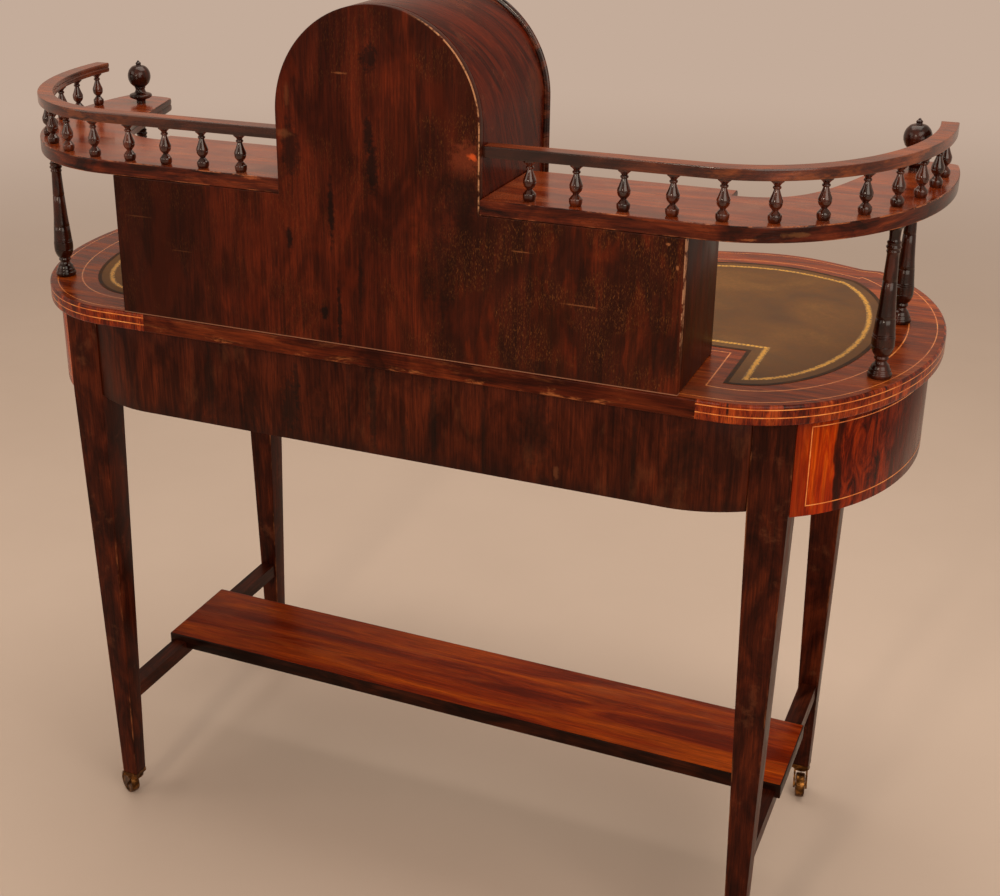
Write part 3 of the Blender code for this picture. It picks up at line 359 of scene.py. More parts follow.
def leather_outline(end_margin, margin, beside_box, before_box):
    """A line inside the top's edge that steps round the boxes."""
    across, deep = END_ACROSS - end_margin, END_DEEP - margin
    side = WING + beside_box
    rear = math.acos((side - END_MIDDLE) / across) if abs(side - END_MIDDLE) < across else math.pi / 2
    front = [(x, front_edge(x) - margin) for x in spread(0, NOTCH, 70)]
    inside = [point for point in front if point[0] < END_MIDDLE
              or ((point[0] - END_MIDDLE) / across) ** 2 + ((point[1] - END_DEEP) / deep) ** 2 < 1]
    beyond = [point for point in round_end(across, deep, -math.pi / 2, rear)
              if point[0] > inside[-1][0] or point[1] < END_DEEP]
    box_front, arch_side, arch_front = (
        edge + before_box for edge in (BOX_DEEP, ARCH_SIDE, ARCH_FRONT))
    return anticlockwise(plan(both_halves(inside + beyond + [
        (side, box_front), (arch_side, box_front), (arch_side, arch_front), (0, arch_front)])))


def top_dust(work, colour):
    """Polish that has gone pale and thin in cloudy patches on the flat."""
    return work.lay(colour, (166, 96, 62), work.patches(0.52, 0.74, 6, 4, 0.65, 0.5), 0.28)


def chipped_edge(work, colour):
    """Pale bruises on the plain rear edge, thickest along its lower corner."""
    low = work.between(work.places()[2], TOP - 0.010, TOP - 0.021)
    return work.lay(colour, (176, 104, 58),
                    work.patches(0.53, 0.64, 70, 5, 0.7, 0.4, drawn=(0.25, 1, 1)),
                    work.reckon("MULTIPLY_ADD", low, 0.6, 0.12))


def plain_behind(x, y):
    """Whether the edge is the plain stretch behind the boxes."""
    return y > BACK - 0.012 and BANDED_FROM[0] < x < BANDED_FROM[1]


leather_line = leather_outline(0.068, 0.056, 0.034, 0.023)
desk_top = sunk_board("top_board", plan(top_outline()), softened(TOP - TOP_THICK, TOP, 0.0025),
                      drawn_in(leather_line, -RECESS_ROOM), RECESS_DEEP)
fit(desk_top, "desk", "desk_top", "rosewood",
    rosewood("top_veneer", "X", (98, 33, 6), (128, 49, 11), (156, 70, 20), swirl=2, smoke=0.35,
             lines=0.42, long=0.16, gloss=(0.20, 0.32), sheen=0.15, wear=top_dust),
    rosewood("cross_banding", "Y", (74, 15, 3), (116, 35, 6), (160, 64, 16), figure=150, swirl=0.8,
             smoke=1, lines=0.7, run=True, gloss=(0.2, 0.3), sheen=0.2),
    rosewood("plain_edge", "X", (46, 12, 4), (76, 25, 8), (100, 40, 15), wear=chipped_edge),
    part=lambda face: face.center.z < TOP - 0.00001 and 1 + plain_behind(*face.center.xy))

# Lines of satinwood let into the top and its edge. One runs 10 mm inside the edge, one steps round
# the leather and the boxes, and two run one above the other along the banded edge.
LINE, SUNK = 0.0011, 0.0004


def strip(name, first, second, low, high, closed=True):
    """A thin inlaid strip between two lines of points and two heights."""
    shape = bmesh.new()
    run = shape.loops.layers.uv.new("run")
    rings = [[shape.verts.new(spot) for spot in ((x, y, low), (x, y, high), (u, v, high), (u, v, low))]
             for (x, y), (u, v) in zip(first, second)]
    gone = 0
    for here, after in zip(rings, rings[1:] + rings[:closed]):
        length = (after[0].co - here[0].co).length
        for side, beside, near, far in ((0, 1, 0, 0), (1, 2, 0, 1), (2, 3, 1, 1), (3, 0, 1, 0)):
            face = shape.faces.new((here[side], here[beside], after[beside], after[side]))
            spots = ((gone, near), (gone, far), (gone + length, far), (gone + length, near))
            for loop, spot in zip(face.loops, spots):
                loop[run].uv = spot
        gone += length
    if not closed:
        shape.faces.new(rings[0])
        shape.faces.new(rings[-1])
    return settle(name, shape, 30)


def satinwood_line():
    """Thin pale lines that have darkened to honey under the polish."""
    work = Finish("satinwood_line")
    shade = work.mottle(60, 3, 0.6)
    colour = work.shades(shade, (0.30, (184, 88, 30)), (0.50, (222, 124, 50)), (0.70, (240, 158, 80)))
    return work.finish(colour, work.between(shade, 0.3, 0.7, 0.24, 0.38), work.mottle(900, 2), 0.05,
                       coat=0.3)


satinwood = satinwood_line()


def flat_line(name, line, width, high, finish):
    """An inlaid line that lies flat along a closed path."""
    fit(strip(name, drawn_in(line, -width / 2), drawn_in(line, width / 2), TOP - SUNK, TOP + high),
        "desk", None, None, finish)


def edge_line(name, line, height, width=LINE, body="desk", proud=0.0001):
    """A line let into an upright edge, along an open anticlockwise path."""
    inner, outer = [], []
    for place, point in enumerate(line):
        before, after = line[max(place - 1, 0)], line[min(place + 1, len(line) - 1)]
        onward = (Vector(after) - Vector(before)).normalized()
        normal = Vector((onward.y, -onward.x))
        inner.append(tuple(Vector(point) - normal * SUNK))
        outer.append(tuple(Vector(point) + normal * proud))
    fit(strip(name, inner, outer, height - width / 2, height + width / 2, False), body, None, None,
        satinwood)


outer_edge = anticlockwise(plan(top_outline()))
flat_line("top_line_outer", drawn_in(outer_edge, 0.010), LINE, 0.00005, satinwood)
flat_line("top_line_inner", leather_outline(0.041, 0.041, 0.0187, 0.010), 0.0015, 0.00005, satinwood)
banded = [point for point in outer_edge if not plain_behind(*point)]
start = max(range(len(banded)), key=lambda place: math.dist(banded[place - 1], banded[place]))
for word, drop in (("upper", 0.0045), ("lower", 0.0130)):
    edge_line("edge_line_" + word, banded[start:] + banded[:start], TOP - drop, proud=0.00005)

# Writing leather: one sheet of olive-green skin let into the top, worn brown in the middle. Its
# edge is a dark line where the dye has pooled, and a gold-tooled scroll runs 17 mm inside it.
leather = board("leather_sheet", leather_line, [(TOP + rise, inset) for rise, inset in (
    (-0.0013, 0), (-0.0004, 0), (0.0001, 0.0006), (0.0002, 0.0016), (0.0002, 0.0024))])


def tooled_leather():
    """Fine-grained skin, olive with brown handling marks and soft dark smears."""
    work = Finish("tooled_leather")
    cloud, freckle = work.mottle(7, 5, 0.65, 0.6), work.mottle(260, 3, 0.6)
    colour = work.shades(cloud, (0.34, (86, 53, 23)), (0.50, (106, 68, 32)), (0.64, (122, 82, 42)))
    smear = work.mottle(15, 3, 0.5, drawn=(0.35, 1, 1), turn=24)
    colour = work.lay(colour, (70, 56, 40), work.between(smear, 0.58, 0.70, 0, 0.35))
    colour = work.lay(colour, (82, 64, 34), work.between(freckle, 0.42, 0.60, 0.30, 0))
    grain = work.step("TexVoronoi", Vector=work.spot, Scale=1100).outputs[0]
    return work.finish(colour, work.between(cloud, 0.3, 0.7, 0.42, 0.58),
                       work.reckon("ADD", grain, freckle), 0.16, 0.0003, sheen=0.18)


def dark_dye():
    """The near-black line round the leather."""
    work = Finish("dark_dye")
    cloud = work.mottle(60, 4, 0.65)
    return work.finish(work.shades(cloud, (0.34, (26, 14, 7)), (0.62, (74, 45, 22))),
                       work.between(cloud, 0.3, 0.7, 0.45, 0.6), cloud, sheen=0.12)


def gold_tooling():
    """Gold leaf pressed in a leafy band with ragged edges, rubbed thin in places."""
    work = Finish("gold_tooling")
    along, across, _ = work.step("SeparateXYZ", work.run).outputs
    wave = work.times(along, 1300)
    leaf = work.reckon("MULTIPLY_ADD", work.reckon("SINE", wave), 0.11, 0.36)
    torn = work.reckon("MULTIPLY_ADD", work.mottle(260, 4, 0.75), 1.6, -0.8)
    out = work.reckon("ADD", work.reckon("ABSOLUTE", work.reckon("SUBTRACT", across, 0.5)), torn)
    band = work.between(out, leaf, work.reckon("SUBTRACT", leaf, 0.12))
    vein = work.between(work.reckon("SINE", work.reckon("MULTIPLY_ADD", across, 9, wave)), 0.10, 0.80)
    gold = work.times(band, work.between(work.mottle(150, 4, 0.7), 0.30, 0.46, 0.35, 1))
    colour = work.lay((112, 80, 38), work.lay((232, 170, 52), (134, 88, 30), vein, 0.7), gold)
    return work.finish(colour, work.between(gold, 0, 1, 0.5, 0.36), gold, 0.25, 0.0003,
                       work.times(gold, 0.25))


fit(leather, "desk", "writing_leather", "green_leather", tooled_leather())
flat_line("leather_dark_edge", drawn_in(leather_line, 0.0014), 0.0046, 0.0003, dark_dye())
flat_line("leather_gold_border", leather_outline(0.0855, 0.0735, 0.0515, 0.0405), 0.0070, 0.00026,
          gold_tooling())

# Rear apron: a long board under the top behind, veneered with upright grain. It is straight in the
# middle and bends in at both ends to meet the legs. Its edges are square.
GAP = 0.0003
FRIEZE_TOP, FRIEZE_BOTTOM = TOP - TOP_THICK - GAP, TOP - TOP_THICK - 0.110
LEG_PLACE, LEG_HALF = 0.429, 0.02175
LEG_INNER, LEG_OUTER = LEG_PLACE - LEG_HALF, LEG_PLACE + LEG_HALF
APRON_THICK, BEND = 0.018, 0.082


def marks(work, colour, *groups):
    """Knots and bruises: a colour, then X, height and half sizes in mm, and strength of each."""
    ragged = work.reckon("MULTIPLY_ADD", work.mottle(150, 3, 0.7), 2.4, -1.2)
    for shade, *spots in groups:
        for *sizes, strength in spots:
            x, height, wide, tall = (size / 1000 for size in sizes)
            scaled = work.step("Mapping", Vector=work.spot, Scale=(1 / wide, 0, 1 / tall),
                               Location=(-x / wide, 0, -height / tall)).outputs[0]
            away = work.step("VectorMath", scaled, way="LENGTH").outputs["Value"]
            near = work.between(work.reckon("ADD", away, ragged), 1.4, 0.5, 0, strength)
            colour = work.lay(colour, shade, near)
    return colour


def apron_face(x):
    """Depth of the rear apron's outer face."""
    return 0.012 + 0.02485 * max(0, (abs(x) - (LEG_INNER - BEND)) / BEND) ** 2


def bent_row(width):
    """X places along the rear apron, close together where it bends."""
    bend = spread(width, LEG_INNER - BEND, 24)
    return [-x for x in bend] + bend[::-1]


def apron_dirt(work, colour):
    """Grime that has darkened the lower edge, cloudy pale handling marks and black smudges."""
    grime = work.between(work.places()[2], FRIEZE_BOTTOM + 0.018, FRIEZE_BOTTOM, 0, 0.45)
    colour = work.lay(colour, (26, 14, 10), grime)
    colour = work.lay(colour, (112, 62, 36), work.patches(0.56, 0.72, 26, 5, 0.7, drawn=(1, 1, 0.4)),
                      0.22)
    smudge, ring = (20, 12, 8), (24, 8, 4)
    return marks(
        work, colour, (smudge, (120.7, 670.6, 12.5, 34, 0.65), (113, 698, 4, 26, 0.58)),
        (ring, (85, 679.7, 12, 26, 0.58)), ((72, 26, 10), (85, 679.7, 8, 19, 0.61)),
        (ring, (85, 679.7, 4, 9, 0.43)), (smudge, (14.4, 685.1, 4.4, 56, 0.61)),
        (ring, (176.5, 660.9, 7.5, 28, 0.50)),
        (smudge, (-60, 680, 5, 46, 0.54), (-25, 652, 4, 24, 0.50), (45, 700, 3, 30, 0.43),
         (-120, 675, 3, 50, 0.43), (-180, 690, 18, 36, 0.36)),
        ((124, 74, 46), (-205, 645, 3, 7, 0.36)),
        (smudge, (-290, 680, 3, 50, 0.43), (-345, 690, 20, 34, 0.36), (230, 680, 6, 50, 0.43)))


row = bent_row(LEG_INNER - GAP)
fit(board("rear_apron_board", plan([(x, apron_face(x)) for x in row]
                                   + [(x, apron_face(x) + APRON_THICK) for x in reversed(row)]),
          softened(FRIEZE_BOTTOM, FRIEZE_TOP, 0.0008, 2)),
    "desk", "rear_apron", "dark_rosewood",
    rosewood("upright_veneer", "Z", (46, 15, 6), (62, 22, 8), (78, 29, 11), swirl=1.8, wear=apron_dirt))

# End aprons: bent boards round both ends, between the faces of the legs. Each is veneered with
# upright rosewood whose sapwood gives a fiery panel by the rear leg, framed by a satinwood line.
APRON_REAR, APRON_FRONT, END_APRON_ACROSS = 0.03485, 0.48175, 0.178
END_APRON_DEEP = (((APRON_FRONT - APRON_REAR) / 2 - 0.006)
                  / math.sqrt(1 - ((LEG_OUTER - END_MIDDLE) / END_APRON_ACROSS) ** 2))


def end_apron_line(side, inset):
    """One face of an end apron in X and depth, from the rear leg to the front leg."""
    across = END_APRON_ACROSS - inset
    limit = math.acos((LEG_OUTER + GAP - END_MIDDLE) / across)
    return [(side * x, depth) for x, depth in round_end(
        across, END_APRON_DEEP - inset, limit, -limit, (APRON_REAR + APRON_FRONT) / 2, 80)]


def fiery_veneer(name, start, length, back_to_front):
    """Upright veneer along the bend: fiery sapwood, one black streak, then mottled heartwood, and
    painted shade along the top under the desk top's overhang.
    """
    work = Finish(name)
    along = work.step("SeparateXYZ", work.run).outputs[0]
    gone = work.reckon("SUBTRACT", *((along, start) if back_to_front else (start + length, along)))
    drift = work.reckon("SUBTRACT", work.mottle(14, 3, 0.6, drawn=(0.2, 0.2, 1)), 0.5)
    edge = work.reckon("ADD", gone, work.times(drift, 0.030))
    flame = work.mottle(80, 6, 0.65, 1, drawn=(1, 1, 0.10))
    sap = work.shades(flame, (0.34, (112, 20, 0)), (0.50, (152, 42, 0)), (0.66, (192, 78, 4)))
    knotty = work.mottle(58, 6, 0.68, 1.2, drawn=(1, 1, 0.32))
    heart = work.shades(knotty, (0.38, (34, 5, 0)), (0.48, (84, 17, 1)), (0.62, (138, 42, 4)))
    heart = work.lay(heart, (66, 12, 1), work.between(edge, 0.10, 0.17, 0, 0.75))
    sap = work.lay(sap, (120, 34, 6), work.between(edge, 0.016, 0.002, 0, 0.7))
    colour = work.lay(sap, heart, work.between(edge, 0.043, 0.047))
    colour = work.lay(colour, (38, 9, 3), work.between(edge, 0.042, 0.045),
                      work.between(edge, 0.056, 0.050), 0.85)
    fine = work.mottle(420, 3, 0.6, drawn=(1, 1, 0.05))
    lines = work.shades(fine, (0.42, (0.55, 0.48, 0.42, 1)), (0.58, (1.25, 1.22, 1.2, 1)))
    colour = work.lay(colour, lines, 0.5, way="MULTIPLY")
    # Painted shade: the veneer darkens towards its top edge, where the desk top's overhang shades it.
    painted_shade_under_top = work.between(work.places()[2], FRIEZE_TOP - 0.020, FRIEZE_TOP, 0, 0.4)
    return work.finish(work.lay(colour, (38, 14, 8), painted_shade_under_top), work.between(flame, 0.3, 0.7, 0.18, 0.3),
                       fine, 0.08, sheen=0.09)


for side, hand in HANDS:
    outer, inner = end_apron_line(side, 0), end_apron_line(side, APRON_THICK)
    outline = plan(outer + inner[::-1])
    back_to_front = area_of(outline) > 0
    start = 0 if back_to_front else so_far(inner)[-1] + APRON_THICK
    fit(board("end_apron_board_" + hand, outline, softened(FRIEZE_BOTTOM, FRIEZE_TOP, 0.0008, 2)),
        "desk", "end_apron_" + hand, "red_veneer",
        fiery_veneer("fiery_veneer_" + hand, start, so_far(outer)[-1], back_to_front))
    line = plan(outer)[::-side]
    gone = so_far(line)
    reach = [point for point, length in zip(line, gone) if 0.012 < length < gone[-1] - 0.012]
    low, high = FRIEZE_BOTTOM + 0.012, FRIEZE_TOP - 0.009
    edge_line("apron_line_%s_low" % hand, reach, low)
    edge_line("apron_line_%s_high" % hand, reach, high)
    for word, end, toward in (("first", reach[0], reach[1]), ("last", reach[-1], reach[-2])):
        other = tuple(Vector(end) + (Vector(toward) - Vector(end)).normalized() * LINE)
        edge_line("apron_line_%s_%s" % (hand, word), [end, other] if word == "first" else [other, end],
                  (low + high) / 2, high - low)

# Dust board and dividers: plain mahogany between the aprons, where the drawers run. Only its
# front edge and the fronts of the two dividers ever show.
DRAWER_FACE, DUST_THICK = 0.481, 0.010
SIDE_DRAWER, CENTRE_DRAWER = (0.1675, 0.40575), (-0.1485, 0.1485)


def drawer_face(x):
    """Depth of the drawer fronts: flat before the knees and swelled before each stack."""
    inner, outer = SIDE_DRAWER
    return DRAWER_FACE + SWELL * swell(x, (inner + outer) / 2, (outer - inner) / 2)


def inside_wood(name, dark, light, drawn):
    """Plain, dry mahogany that has never been polished."""
    work = Finish(name)
    figure, fine = work.mottle(60, 5, 0.6, 1, drawn=drawn), work.mottle(800, 3, 0.6, drawn=drawn)
    colour = work.lay(work.shades(figure, (0.32, dark), (0.68, light)), (70, 38, 22),
                      work.between(fine, 0.48, 0.36, 0, 0.5))
    return work.finish(colour, work.between(figure, 0.3, 0.7, 0.5, 0.66), fine, 0.2)


def rounded(outline, radius, steps=3):
    """An outline whose corners are rounded off."""
    made = []
    for last, here, after in zip(outline[-1:] + outline, outline, outline[1:] + outline[:1]):
        here = Vector(here)
        start = here + (Vector(last) - here).normalized() * radius
        finish = here + (Vector(after) - here).normalized() * radius
        made += [tuple(start * (1 - share) ** 2 + here * 2 * share * (1 - share) + finish * share ** 2)
                 for share in spread(0, 1, steps)]
    return made


def squared(across, depths):
    """A rectangle by its limits in X and depth."""
    (left, right), (near, far) = across, depths
    return plan([(left, near), (right, near), (right, far), (left, far)])


def block(name, across, depths, heights, ease=0.0008):
    """A squared board with eased edges, by its limits in X, depth and height."""
    corners = anticlockwise(squared(across, depths))
    return made_of(name, [[(x, y, height) for x, y in rounded(drawn_in(corners, inset), ease)]
                          for height, inset in softened(*heights, ease, 3)[1:-1]])


limit = LEG_INNER - GAP
inside_long = inside_wood("inside_wood_long", (104, 56, 30), (158, 98, 58), (0.05, 1, 1))
inside_deep = inside_wood("inside_wood_deep", (108, 60, 32), (164, 104, 62), (1, 0.05, 1))
fit(board("dust_board_boards", plan([(x, drawer_face(x)) for x in spread(-limit, limit, 120)]
                                    + [(x, apron_face(x) + APRON_THICK + GAP)
                                       for x in bent_row(limit)[::-1]]),
          softened(FRIEZE_BOTTOM, FRIEZE_BOTTOM + DUST_THICK, 0.0006, 2)),
    "desk", "dust_board", "inner_wood", inside_long)
dark_upright = rosewood("dark_upright", "Z", (30, 9, 4), (50, 17, 7), (66, 25, 11))
for side, hand in HANDS:
    fit(block("divider_board_" + hand, sorted((side * 0.150, side * 0.166)), (0.0303, DRAWER_FACE),
              (FRIEZE_BOTTOM + DUST_THICK + GAP, FRIEZE_TOP)),
        "desk", "drawer_divider_" + hand, "dark_rosewood", dark_upright)

# Legs: four square legs, upright beside the frieze and tapered on all sides to a tenon that sits
# in the castor's cup. They are solid rosewood, blackened with polish and knocked along the arrises.
FOOT_HALF = 0.0112
CUP_BOTTOM, CUP_HEIGHT, CUP_FLOOR = 0.0392341, 0.0058, 0.0025
CORNERS = [("%s_%s" % (word, hand), side * LEG_PLACE, BACK - depth) for side, hand in HANDS
           for word, depth in (("front", 0.460), ("rear", 0.0566))]


def worn_arris(x_middle, y_middle):
    """Pale rubbing and dents along the four arrises of one leg."""
    def wear(work, colour):
        x, y, _ = work.places()
        out_x, out_y = (work.reckon("ABSOLUTE", work.reckon("SUBTRACT", place, middle))
                        for place, middle in ((x, x_middle), (y, y_middle)))
        ridge = work.reckon("ABSOLUTE", work.reckon("SUBTRACT", out_x, out_y))
        colour = work.lay(colour, (146, 88, 52), work.between(ridge, 0.0022, 0.0002),
                          work.patches(0.50, 0.66, 60, 5, 0.7, drawn=(1, 1, 0.25)), 0.7)
        return work.lay(colour, (112, 64, 40), work.patches(0.56, 0.70, 24, 5, 0.7), 0.28)
    return wear


shoulder = CUP_BOTTOM + CUP_HEIGHT + GAP
tenon = FOOT_HALF - 0.0018 - GAP
for corner, x, y in CORNERS:
    rings = [[(px, py, height) for px, py in rounded(
        [(x - half, y - half), (x + half, y - half), (x + half, y + half), (x - half, y + half)], ease)]
        for half, ease, height in (
            (tenon, 0.0004, CUP_BOTTOM + CUP_FLOOR + GAP), (tenon, 0.0004, shoulder),
            (FOOT_HALF - 0.0005, 0.001, shoulder), (FOOT_HALF, 0.0012, shoulder + 0.0006),
            (LEG_HALF, 0.0012, FRIEZE_BOTTOM), (LEG_HALF, 0.0012, FRIEZE_TOP))]
    fit(made_of("leg_%s_post" % corner, rings, 25), "desk", "leg_" + corner, "dark_rosewood",
        rosewood("leg_wood_" + corner, "Z", (40, 11, 4), (58, 19, 7), (76, 28, 10), figure=60,
                 wear=worn_arris(x, y)))

# Castors: cast brass, each a square cup on the leg, a forked arm that swivels under it and a
# wheel turned with its axle. The brass has dulled brown, and shines only where it is rubbed.
AXLE, TRAIL = 0.0172341, 0.016
TURNS = {"front_left": 101, "front_right": 60, "rear_left": 200, "rear_right": -27}
HALF_WHEEL = ((0.002, 0.0095), (0.002, 0.0062), (0.0055, 0.006), (0.0058, 0.0052), (0.0128, 0.0050),
              (0.0134, 0.006), (0.0152, 0.006), (0.0163, 0.0054), (0.0170, 0.0034))


def old_brass(name, scale=1):
    """Dull brown brass, bright on the high spots."""
    work = Finish(name)
    cloud, spots = work.mottle(120 * scale, 5, 0.65), work.mottle(620 * scale, 3, 0.7)
    colour = work.shades(cloud, (0.34, (48, 28, 12)), (0.50, (92, 58, 24)), (0.66, (150, 100, 46)))
    colour = work.lay(colour, (44, 34, 22), work.between(spots, 0.60, 0.72, 0, 0.6))
    return work.finish(colour, work.between(cloud, 0.3, 0.7, 0.46, 0.26), spots, 0.15, metal=0.9)


def dress(node, finish):
    """Give a solid of the part its finish."""
    solids[node].data.materials.clear()
    solids[node].data.materials.append(finish)


def turned(name, profile, sides, stand, crease):
    """A profile of radius and height turned round its axis."""
    return made_of(name, [[(radius * math.cos(2 * math.pi * side / sides),
                            radius * math.sin(2 * math.pi * side / sides), height)
                           for side in range(sides)] for radius, height in profile], crease, stand)


brass = old_brass("castor_brass")
half_wheel = [(radius, -height) for radius, height in HALF_WHEEL]
for corner, x, y in CORNERS:
    dress("castor_cup_" + corner, brass)
    dress("castor_fork_" + corner, brass)
    lying = (Matrix.Translation((x, y, AXLE)) @ Matrix.Rotation(math.radians(TURNS[corner]), 4, "Z")
             @ Matrix.Translation((TRAIL, 0, 0)) @ Matrix.Rotation(math.pi / 2, 4, "X"))
    fit(turned("wheel_" + corner, half_wheel + [(0.01722, 0)] + list(HALF_WHEEL[::-1]), 48, lying, 30),
        "castor_wheel_" + corner, "castor_wheel_" + corner, "aged_brass", brass)


# Stretchers and undershelf: a square bar joins the front and rear leg on each side, and a long
# figured board lies in notches in the two bars.
def undershelf_wear_and_shade(work, colour):
    """Rubbed, hazy patches on the board, painted shade that darkens the end at +X away from the light,
    and dark streaks along it.
    """
    colour = work.lay(colour, (150, 84, 56), work.patches(0.50, 0.70, 15, 5, 0.7, drawn=(0.35, 1, 1)),
                      0.3)
    # Painted shade: the end at +X, away from the side light, is darkened.
    colour = work.lay(colour, (74, 26, 8), work.between(work.places()[0], -0.05, 0.40, 0, 0.45))
    return work.lay(colour, (60, 20, 7), work.patches(0.60, 0.70, 40, 4, 0.6, drawn=(0.15, 1, 1)), 0.4)


for side, hand in HANDS:
    dress("stretcher_" + hand, rosewood("stretcher_wood_" + hand, "Y", (38, 12, 5), (56, 20, 8),
                                        (72, 28, 12), figure=60))
UNDERSHELF_TOP = 0.1906
fit(block("undershelf_board", (-0.4457, 0.4457), (0.1905, 0.3323), (0.1709, UNDERSHELF_TOP), 0.0014),
    "desk", "undershelf", "red_veneer",
    rosewood("undershelf_veneer", "X", (118, 32, 0), (152, 51, 2), (186, 80, 8), figure=60, smoke=0.3,
             lines=0.42, long=0.10, gloss=(0.24, 0.38), sheen=0.07, wear=undershelf_wear_and_shade),
    # Painted shade: the edges and underside take a darker copy of the shelf's wood, for the shade they
    # lie in.
    rosewood("undershelf_painted_shade_edge", "X", (20, 8, 4), (34, 13, 6), (56, 22, 9)),
    part=lambda face: face.center.z <= UNDERSHELF_TOP - 0.00001)

# Frieze drawers: three fronts veneered to match, the outer two swelled, each with a satinwood
# frame and a turned brass knob or two. Their boxes are plain mahogany.
KNOB = ((0, 0.78), (0, 0.82), (0, 0.82), (0.05, 0.84), (0.09, 0.78), (0.14, 0.46), (0.25, 0.38),
        (0.40, 0.38), (0.48, 0.62), (0.56, 0.88), (0.66, 1), (0.76, 0.96), (0.86, 0.80), (0.94, 0.50),
        (0.985, 0.20), (1, 0.01))
drawer_veneer = rosewood("drawer_veneer", "X", (66, 20, 7), (106, 38, 13), (140, 62, 24), swirl=2,
                         smoke=0.3, gloss=(0.2, 0.3), coat=0.1, sheen=0.25)
knob_brass = old_brass("knob_brass", 1.6)


def flowing(shares, radius, height, steps=4):
    """A turned profile from shares of height and radius: curved, but crisp at doubled points."""
    points = [Vector((wide * radius, rise * height)) for rise, wide in shares]
    made = [points[0]]
    for before, here, after, beyond in zip(points[:1] + points, points, points[1:],
                                           points[2:] + points[-1:]):
        if (after - here).length < 1e-9:
            continue
        pull_here = (after - before) / 2 if (here - before).length > 1e-9 else after - here
        pull_after = (beyond - here) / 2 if (beyond - after).length > 1e-9 else after - here
        for share in spread(0, 1, steps)[1:]:
            square, cube = share ** 2, share ** 3
            made.append(here * (2 * cube - 3 * square + 1) + pull_here * (cube - 2 * square + share)
                        + after * (3 * square - 2 * cube) + pull_after * (cube - square))
    return [(max(point.x, 0.0001), point.y) for point in made]


def knob(name, node, radius, length, x, depth, height, body):
    """A turned brass knob that points forward."""
    stand = Matrix.Translation((x, BACK - depth - GAP, height)) @ Matrix.Rotation(math.pi / 2, 4, "X")
    fit(turned(name, flowing(KNOB, radius, length), 32, stand, 40), body, node, "aged_brass", knob_brass)


def key_plate(name, x, depth, height, body):
    """A small brass lining round a keyhole."""
    ring = [((0.0042 if math.sin(angle) > 0 else 0.0030) * math.cos(angle), 0.0062 * math.sin(angle))
            for angle in spread(0, 2 * math.pi, 28)[:-1]]
    hole = [(px * 0.5, py * 0.62) for px, py in ring]
    rows = [[(x + px, BACK - depth - proud, height + py) for px, py in line]
            for line, proud in ((hole, -SUNK), (ring, -SUNK), (ring, 0.00008), (hole, 0.00008))]
    shape = bmesh.new()
    ribs = skin(shape, rows + rows[:1])
    bmesh.ops.remove_doubles(shape, verts=ribs[0] + ribs[-1], dist=1e-7)
    fit(settle(name, shape, 40), body, None, None, knob_brass)


def drawer(name, across, front, heights, box, walls, deep, face, inset):
    """A drawer's veneered front, its plain box, and the satinwood frame let into its front."""
    fit(front, name, name, "rosewood", drawer_veneer)
    (inner, outer), (low, high), (rear, near, top), (wall, front_wall) = across, heights, box, walls
    fit(sunk_board(name + "_box", squared(across, (rear, near)), [(low, 0), (top, 0)],
                   squared((inner + wall, outer - wall), (rear + wall, near - front_wall)), deep),
        name, None, "inner_wood", inside_deep)
    left, right = inner + inset, outer - inset
    for word, middle in (("low", low + inset), ("high", high - inset)):
        edge_line("%s_line_%s" % (name, word), plan([(x, face(x)) for x in spread(left, right, 60)]),
                  middle, body=name)
    for word, x in (("left", left), ("right", right)):
        edge_line("%s_line_%s" % (name, word), plan([(x - LINE / 2, face(x)), (x + LINE / 2, face(x))]),
                  (low + high) / 2, high - low - 2 * inset, name)


behind, low, high, floor = DRAWER_FACE - 0.018, 0.6383, 0.7365, 0.006
for word, (inner, outer) in (("left", (-SIDE_DRAWER[1], -SIDE_DRAWER[0])), ("centre", CENTRE_DRAWER),
                             ("right", SIDE_DRAWER)):
    name, middle = "frieze_drawer_" + word, (inner + outer) / 2
    front = board(name + "_front", plan([(x, drawer_face(x)) for x in spread(inner, outer, 60)]
                                        + [(outer, behind), (inner, behind)]),
                  softened(low, high, 0.0008, 2))
    rim = high - 0.007
    drawer(name, (inner, outer), front, (low, high), (0.081, behind - 0.0001, rim),
           (0.008, 0.006), rim - low - floor, drawer_face, 0.011)
    key_plate(name + "_key_plate", middle, drawer_face(middle), high - 0.026, name)
for side, hand in HANDS:
    knob("centre_knob_" + hand, "centre_drawer_knob_" + hand, 0.011, 0.022, side * 0.078, DRAWER_FACE,
         0.688, "frieze_drawer_centre")
    knob("side_knob_" + hand, "frieze_drawer_knob_" + hand, 0.011, 0.022, side * 0.286625,
         DRAWER_FACE + SWELL, 0.688, "frieze_drawer_" + hand)

# Rear board: one board backs everything above the top, low at the wings and arched in the middle.
# Its dark upright figure has faded in streaks, the wing at +X is painted darker as shade, and the arch's
# rim carries a painted highlight, rubbed pale, down one side.
ARCH_HALF, SPRING, BOX_TOP, REAR_THICK = 0.1182, TOP + 0.2535, TOP + 0.1652, 0.010
UPRIGHT = Matrix.Translation((0, BACK, 0)) @ Matrix.Rotation(math.pi / 2, 4, "X")


def arch_line(half, foot):
    """Half-round arch from one foot over the top to the other, in X and height."""
    jamb = spread(foot, SPRING, 6)[:-1]
    return ([(-half, height) for height in jamb]
            + [(half * math.cos(angle),
                SPRING + half * math.sin(angle)) for angle in spread(math.pi, 0, 72)]
            + [(half, height) for height in reversed(jamb)])


